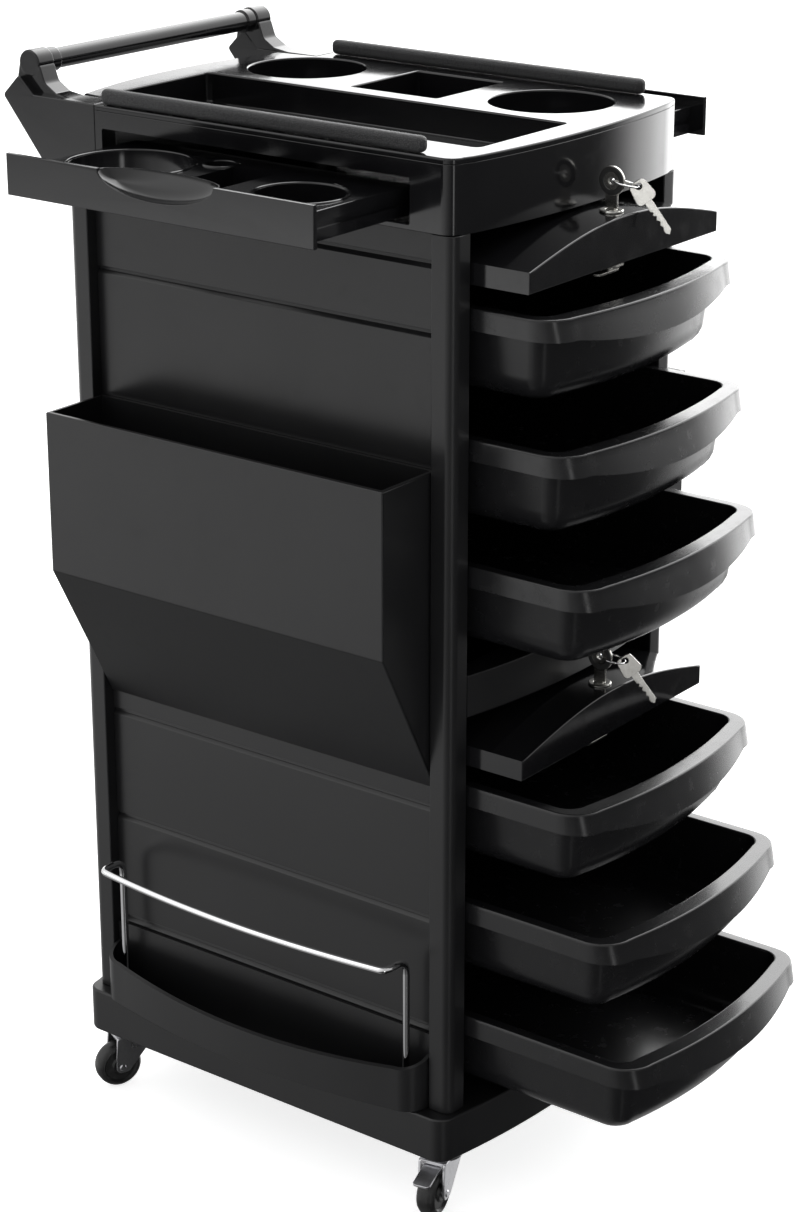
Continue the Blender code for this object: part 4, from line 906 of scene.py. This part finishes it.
cap = plate("key_upper_cap", [circle(LOCK_Y, KEY_HOLE, 0.0105, 56), circle(LOCK_Y, KEY_HOLE, 0.0066, 40)],
            -KEY_HALF - 0.0006, KEY_HALF + 0.0006, 0.0005, "X", 2)

thread = Vector((1, 1, 0)).normalized()
reach = Vector((1, -1, -0.35)).normalized()
hole_at = Vector((0, LOCK_Y, KEY_HOLE))
RING = 0.010
ring = ring_of("key_wire_ring", RING, 0.0007,
               frame_at(hole_at + reach * RING, reach, thread, reach.cross(thread)))
hang = hole_at + reach * 2 * RING
lean = math.radians(34)
down = Vector((1, -1, 0)).normalized() * math.sin(lean) - Vector((0, 0, 1)) * math.cos(lean)
wide = down.cross(thread)
SPARE_END = 0.009 * 1.55 + 0.030
teeth = [(0.0125, -0.003), (0.0215, -0.003), (0.0225, -0.0012), (0.0245, -0.003), (0.0265, -0.0008),
         (0.029, -0.0026), (0.0315, -0.0006), (0.034, -0.0024), (0.0365, -0.0010), (0.039, -0.0026),
         (0.0415, -0.002), (SPARE_END, 0), (SPARE_END - 0.003, 0.003), (0.0125, 0.003)]
spare_blade = plate("spare_blade", [teeth], -0.0009, 0.0009, 0.0002, "Z", 1)
spare_head = rounded([(-0.004, -0.0062, 0.004), (0.0139, -0.0088, 0.004), (0.0139, 0.0088, 0.004),
                      (-0.004, 0.0062, 0.004)])
spare_bow = plate("spare_bow", [spare_head, circle(0, 0, 0.0027, 28)], -0.001, 0.001, 0.0003, "Z", 2)
spare = combine(spare_bow, "UNION", spare_blade)
spare.data.transform(frame_at(hang, down, wide, down.cross(wide)))

for level, lift in (("upper", Matrix.Identity(4)), ("lower", level_gap)):
    body, plug_body, spare_body = f"door_{level}", f"lock_{level}", f"spare_key_{level}"
    for source, name, metal, rides, slot_name, nodes in (
            (lock, "lock_shell", nickel, body, "nickel_plated_brass", (f"lock_body_{level}",)),
            (plug_face, "lock_cylinder", nickel, plug_body, "nickel_plated_brass", (f"lock_plug_{level}",)),
            (main_key, "door_key", nickel, plug_body, "nickel_plated_brass", (f"key_{level}",)),
            (cap, "door_key_cap", key_cap, plug_body, "black_nylon", ()),
            (ring, "key_wire_ring", chrome, body, "chrome_wire", (f"key_ring_{level}",)),
            (spare, "spare_key", nickel, spare_body, "nickel_plated_brass", (f"spare_key_{level}",))):
        fit(copy_of(source, f"{name}_{level}_part", lift), metal, rides, slot_name, *nodes, sharp=35)
for used in (lock, plug_face, main_key, cap, ring, spare):
    bpy.data.objects.remove(used)

# ------------------------------------------------------------------------------ side pockets
# Magazine pockets of satin ABS sheet: a straight upper front, a knee, and a slope back to the
# panel. They are open at the top and screwed to the side panel behind.

pocket_low, pocket_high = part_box("side_pocket_right")
WALL = 0.0035
KNEE = 0.488
SHEET_Y = 0.1651
outline = rounded([(pocket_low.x, pocket_low.z, 0.001), (pocket_high.x, KNEE, 0.004),
                   (pocket_high.x, pocket_high.z, 0.001), (pocket_low.x, pocket_high.z, 0.001)])
inside = rounded([(pocket_low.x + WALL, pocket_low.z + 2.6 * WALL, 0.001),
                  (pocket_high.x - WALL, KNEE + WALL / 2, 0.003),
                  (pocket_high.x - WALL, pocket_high.z + 0.01, 0),
                  (pocket_low.x + WALL, pocket_high.z + 0.01, 0)])
pocket = plate("magazine_pocket_right", [outline], -SHEET_Y, SHEET_Y, 0.0014, "Y")
combine(pocket, "DIFFERENCE", plate("room", [inside], -SHEET_Y + WALL, SHEET_Y - WALL, 0.0008, "Y"))
pocket_left = copy_of(pocket, "magazine_pocket_left", MIRROR)
fit(pocket, satin_black, "cabinet", "satin_black_plastic", "side_pocket_right", sharp=35)
fit(pocket_left, satin_black, "cabinet", "satin_black_plastic", "side_pocket_left", sharp=35)

# ------------------------------------------------------------------------------ bottle shelves
# Satin ABS shelves low on each side with a bowed lip that dips in the middle, and a guard rail of
# chromed wire standing in each.

shelf_low, shelf_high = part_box("bottle_shelf_right")
LIP_X = shelf_high.x
SHELF_REACH = 0.035                  # from the posts' outer face to the middle of the lip
BOWED_SHARE = 0.45                   # of the reach
SHELF_ROUND = 0.020
SHELF_WALL = 0.003
SHELF_START = POST_OUTER[0] + SHELF_REACH * (1 - BOWED_SHARE)


def shelf_outline(inset=0.0):
    half = SHEET_Y - inset
    radius = SHELF_ROUND - inset
    start = SHELF_START - inset
    points = [(shelf_low.x + inset, half), (shelf_low.x + inset, -half)]
    corner = [(start - radius + radius * math.sin(math.pi / 2 * i / 8),
               -half + radius - radius * math.cos(math.pi / 2 * i / 8)) for i in range(9)]
    flat = half - radius
    bow = [(start + SHELF_REACH * BOWED_SHARE * (1 - (i / 16 - 1) ** 2), flat * (i / 16 - 1))
           for i in range(1, 32)]
    return points + corner + bow + [(x, -y) for x, y in reversed(corner)]


shelf = plate("shelf_right", [shelf_outline()], shelf_low.z, shelf_high.z, 0.0008)
combine(shelf, "DIFFERENCE", plate("room", [shelf_outline(SHELF_WALL)], shelf_low.z + SHELF_WALL,
                                   shelf_high.z + 0.02, 0.0005))
lip_slope = 0.013 / SHELF_REACH
back_x = shelf_low.x + 0.0036
rise_at = base_high.z + 0.044 + lip_slope * (POST_OUTER[0] - back_x)
dip_at = base_high.z + 0.031 - lip_slope * 0.01
over = plate("over", [[(back_x, rise_at), (LIP_X + 0.01, dip_at), (LIP_X + 0.01, shelf_high.z + 0.03),
                       (back_x, shelf_high.z + 0.03)]], -0.2, 0.2, 0.0001, "Y", 0)
combine(shelf, "DIFFERENCE", over)
shelf_left = copy_of(shelf, "shelf_left", MIRROR)
fit(shelf, satin_black, "cabinet", "satin_black_plastic", "bottle_shelf_right", sharp=35)
fit(shelf_left, satin_black, "cabinet", "satin_black_plastic", "bottle_shelf_left", sharp=35)


def wire(name, points, radius, soft):
    """Drawn wire through the points, each corner bent to a soft radius, with flat cut ends."""
    route = [points[0]]
    for before, here, after in zip(points, points[1:], points[2:]):
        if math.degrees((here - before).angle(after - here)) < 20:
            route.append(here)
            continue
        start = here + (before - here).normalized() * min(soft, (before - here).length / 2)
        end = here + (after - here).normalized() * min(soft, (after - here).length / 2)
        for t in (k / 10 for k in range(11)):
            route.append(start * (1 - t) ** 2 + here * 2 * t * (1 - t) + end * t ** 2)
    route.append(points[-1])
    drawing = bpy.data.curves.new(name, "CURVE")
    drawing.dimensions = "3D"
    drawing.bevel_depth = radius
    drawing.bevel_resolution = 6
    drawing.use_fill_caps = True
    spline = drawing.splines.new("POLY")
    spline.points.add(len(route) - 1)
    for point, where in zip(spline.points, route):
        point.co = (*where, 1)
    piece = bpy.data.objects.new(name, drawing)
    bpy.context.scene.collection.objects.link(piece)
    take(piece)
    bpy.ops.object.convert(target="MESH")
    piece = bpy.context.object
    edit(piece)
    bpy.ops.mesh.select_all(action="SELECT")
    bpy.ops.mesh.remove_doubles(threshold=1e-6)
    bpy.ops.mesh.normals_make_consistent(inside=False)
    clear()
    return piece


wire_low, wire_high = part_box("shelf_rail_right")
WIRE = 0.0029
WIRE_BEND = 0.012
GUARD_FOOT = (0.151, -0.148)
GUARD_X = 0.1765
GUARD_BOW = 0.0105
rail_top = wire_high.z - 0.0031
foot = [Vector((*GUARD_FOOT, wire_low.z + 0.0002)), Vector((*GUARD_FOOT, rail_top))]
sweep = [Vector((GUARD_X + GUARD_BOW * (1 - (i / 12 - 1) ** 2), GUARD_FOOT[1] + 0.296 * i / 24, rail_top))
         for i in range(25)]
other_foot = [Vector((p.x, -p.y, p.z)) for p in reversed(foot)]
guard = wire("guard_rail_right", foot + sweep + other_foot, WIRE, WIRE_BEND)
guard_left = copy_of(guard, "guard_rail_left", MIRROR)
fit(guard, chrome, "cabinet", "chrome_wire", "shelf_rail_right", sharp=50)
fit(guard_left, chrome, "cabinet", "chrome_wire", "shelf_rail_left", sharp=50)

# ------------------------------------------------------------------------------ casters
# Twin-leg swivel casters: pressed zinc-plated plate and fork, nylon wheel with a dished hub, and a
# brake pedal on each front one.


def zinc_recipe(place):
    """Bright zinc on pressed steel: slightly blotchy, with press marks."""
    spangle = place.noise(260.0, 4.0, 0.65)
    blotch = place.noise(45.0, 3.0)
    return {"Base Color": spangle.shades((0.58, 0.58, 0.60), (0.80, 0.80, 0.82)), "Metallic": 1.0,
            "Roughness": 0.20 + blotch * 0.18}, spangle * 0.00003


def nylon_recipe(place):
    """Moulded black nylon, dull, with a scuffed tread."""
    scuff = place.noise(220.0, 4.0, 0.7)
    return {"Base Color": scuff.between(0.5, 0.8).shades((0.006, 0.006, 0.006), (0.02, 0.02, 0.02)),
            "Roughness": 0.32 + scuff * 0.2}, scuff * 0.00008


zinc = finish("zinc_plated_steel", zinc_recipe)
nylon = finish("black_nylon", nylon_recipe)
WHEEL = 0.020
TRAIL = 0.017
LEG = (0.0095, 0.0117)               # inner and outer face of a fork's leg
PLATE_HALF = 0.021
SCREW_AT = 0.015
plate_square = [(a * PLATE_HALF, b * PLATE_HALF, 0.003) for a, b in ((-1, -1), (1, -1), (1, 1), (-1, 1))]
screws = [circle(a * SCREW_AT, b * SCREW_AT, 0.0021, 16) for a in (-1, 1) for b in (-1, 1)]
mount = plate("mount", [rounded(plate_square)] + screws, 0.0542, 0.0567, 0.0004)
head = turned("head", [(0.0, 0.0455), (0.0145, 0.0455), (0.0163, 0.0465), (0.0165, 0.050),
                       (0.0155, 0.0528), (0.0135, 0.0539), (0.0, 0.0539)], (0, 0, 0))
leg_outline = rounded([(-0.014, 0.0478, 0.001), (-0.014, 0.0443, 0.002), (TRAIL - 0.006, 0.0155, 0.005),
                       (TRAIL + 0.0055, 0.0145, 0.005), (TRAIL + 0.0055, 0.030, 0.004),
                       (TRAIL + 0.004, 0.0478, 0.002)])
legs = [plate("leg", [leg_outline], start, stop, 0.0004, "Y", 2) for start, stop in ((-LEG[1], -LEG[0]), LEG)]
hood_outline = rectangle(-0.0138, TRAIL + 0.0038, -LEG[1], LEG[1], 0.003)
hood = plate("hood", [hood_outline], 0.0452, 0.0482, 0.0007)
axle = turned("axle", [(0.0, -0.0125), (0.0022, -0.0125), (0.003, -0.0118), (0.003, 0.0118),
                       (0.0022, 0.0125), (0.0, 0.0125)], (0, 0, 0), 24)
to_wheel = Matrix.Translation((TRAIL, 0, WHEEL)) @ Matrix.Rotation(math.pi / 2, 4, "X")
axle.data.transform(to_wheel)
fork = combine(head, "UNION", hood, *legs, axle)
half_tyre = [(0.0034, -0.0079), (0.0068, -0.0079), (0.0082, -0.0062), (0.0138, -0.0060),
             (0.0152, -0.0078), (0.0172, -0.0074), (0.0192, -0.0052), (0.0199, -0.0025)]
other_half = [(radius, -height) for radius, height in reversed(half_tyre)]
tyre = turned("tyre", half_tyre + other_half + half_tyre[:1], (0, 0, 0))
tyre.data.transform(to_wheel)
pedal = plate("pedal", [rounded([(0, -0.0074, 0.001), (0.0255, -0.0074, 0.003), (0.0255, 0.0074, 0.003),
                                 (0, 0.0074, 0.001)])], -0.001, 0.001, 0.0004)
pedal_slope = Matrix.Rotation(math.atan2(0.007, 0.026), 4, "Y")
pedal.data.transform(Matrix.Translation((TRAIL + 0.001, 0, 0.0437)) @ pedal_slope)
for label, x, y, turn in (("front_left", -0.125, -0.165, 192), ("rear_left", -0.125, 0.165, 155),
                          ("front_right", 0.125, -0.165, 8), ("rear_right", 0.125, 0.165, -20)):
    corner = Matrix.Translation((x, y, 0))
    swivel = corner @ Matrix.Rotation(math.radians(turn), 4, "Z")
    fit(copy_of(mount, f"caster_mount_{label}", corner), zinc, "cabinet", "zinc_plated_steel",
        f"caster_plate_{label}")
    fit(copy_of(fork, f"caster_horn_{label}", swivel), zinc, f"caster_fork_{label}", "zinc_plated_steel",
        f"caster_fork_{label}", sharp=40)
    fit(copy_of(tyre, f"caster_tyre_{label}", swivel), nylon, f"caster_wheel_{label}", "black_nylon",
        f"caster_wheel_{label}", sharp=40)
    if label.startswith("front"):
        fit(copy_of(pedal, f"caster_brake_{label}", swivel), zinc, f"brake_pedal_{label}",
            "zinc_plated_steel", f"brake_pedal_{label}")
for used in (mount, fork, tyre, pedal):
    bpy.data.objects.remove(used)

# ------------------------------------------------------------------------------ studio
# Pale floor, and a surround that is bright to the right of the cart and dark in front of it, so
# that the polished faces grade from black to grey as they curve.

clear()
bpy.ops.mesh.primitive_plane_add(size=40, location=(0, 0, 0))
floor = bpy.context.object
floor.name = "studio_floor"


def floor_recipe(place):
    """Painted paper, matt and nearly white, a little brighter than its light."""
    return {"Base Color": place.noise(0.8).shades((0.90, 0.90, 0.90), (0.93, 0.93, 0.93)),
            "Emission Color": (1, 1, 1, 1), "Emission Strength": 0.72,
            "Roughness": 0.9, "Specular IOR Level": 0.0}, place.noise(40.0) * 0.00002


floor.data.materials.append(finish("studio_floor", floor_recipe))
floor.visible_glossy = False

world = bpy.data.worlds.new("studio")
bpy.context.scene.world = world
world.use_nodes = True
world.node_tree.nodes.clear()
toward = Strand(world.node_tree).node("ShaderNodeTexCoord", out="Generated")
axes = toward.node("ShaderNodeSeparateXYZ", {}, {"Vector": toward})
east, north, up = (Strand(world.node_tree, axes.socket.node.outputs[i]) for i in range(3))
azimuth = east.sum("ARCTAN2", north, east) / (2 * math.pi) + 0.5
elevation = up.sum("ARCSINE", up) / math.pi + 0.5
BRIGHTEST = 8.0


def by_azimuth(table):
    """Light that changes with the compass direction: (degrees, strength)."""
    stops = [((a + 180) / 360, light / BRIGHTEST) for a, light in table]
    return azimuth.node("ShaderNodeValToRGB", {"stops": stops}, {"Fac": azimuth}) * BRIGHTEST


def by_elevation(table):
    """Share that changes with the height over the horizon: (degrees, share)."""
    stops = [((a + 90) / 180, share / 2) for a, share in table]
    return elevation.node("ShaderNodeValToRGB", {"stops": stops}, {"Fac": elevation}) * 2.0


below = by_azimuth([(-180, 1.0), (-160, 0.55), (-140, 0.16), (-127, 0.14), (-124.5, 3.2), (-120, 3.2),
                    (-117, 0.12), (-60, 0.08), (-31, 0.12), (-28, 0.6), (-25, 1.5), (-22, 2.9), (-19, 4.0),
                    (-16, 5.5), (0, 6.0), (30, 4.5), (60, 2.2), (100, 1.2), (142, 1.45), (179, 1.0)])
fade_front = by_elevation([(-60, 0.08), (-35, 0.10), (-26, 0.17), (-22, 0.30), (-18, 0.48), (-13, 0.78),
                           (-8, 0.92), (0, 1.0)])
fade_side = by_elevation([(-60, 0.15), (-35, 0.18), (-28, 0.24), (-24, 0.42), (-20, 0.9), (-17, 1.25),
                          (-14, 1.1), (-12, 0.75), (-9, 0.35), (0, 0.3)])
side = azimuth.between((40 + 180) / 360, (90 + 180) / 360)
above = by_azimuth([(-180, 0.9), (-120, 0.5), (-60, 0.6), (-30, 2.5), (0, 5.0), (25, 5.2), (32, 4.3),
                    (35, 3.9), (38, 3.2), (41, 2.2), (44, 1.5), (60, 0.8), (100, 1.0), (142, 1.6),
                    (179, 0.9)])
ground = below * (fade_front * (1 - side) + fade_side * side)
skyward = elevation.between((-4 + 90) / 180, (6 + 90) / 180)
light = ground * (1 - skyward) + above * skyward
seen = toward.node("ShaderNodeLightPath", out="Is Camera Ray")
spread = toward.node("ShaderNodeLightPath", out="Is Diffuse Ray")
SOFT_FILL = 0.7                      # what matt surfaces get from every side
plain = (light * (1 - spread) + spread * SOFT_FILL) * (1 - seen) + seen
glow = toward.node("ShaderNodeBackground", {}, {"Color": (1, 1, 1, 1), "Strength": plain})
toward.node("ShaderNodeOutputWorld", {}, {"Surface": glow})

clear()
LAMP_AT = (0.9, 1.2, 2.6)
bpy.ops.object.light_add(type="AREA", location=LAMP_AT)
lamp = bpy.context.object
lamp.name = "ceiling_softbox"
lamp.data.size = 2.5
lamp.data.energy = 12
lamp.rotation_euler = (Vector(LAMP_AT) - Vector((0, 0, 0.4))).to_track_quat("Z", "Y").to_euler()
lamp.visible_camera = False
lamp.visible_glossy = False

camera = bpy.data.objects.new("camera", bpy.data.cameras.new("camera"))
bpy.context.scene.collection.objects.link(camera)
camera.location = (-1.77746, -1.33363, 1.26987)
camera.rotation_euler = [math.radians(a) for a in (69.7044, 0.0257, -52.5545)]
camera.data.lens = 132.85
camera.data.sensor_width = 36
camera.data.sensor_fit = "HORIZONTAL"
bpy.context.scene.camera = camera
bpy.context.scene.view_settings.view_transform = "Standard"
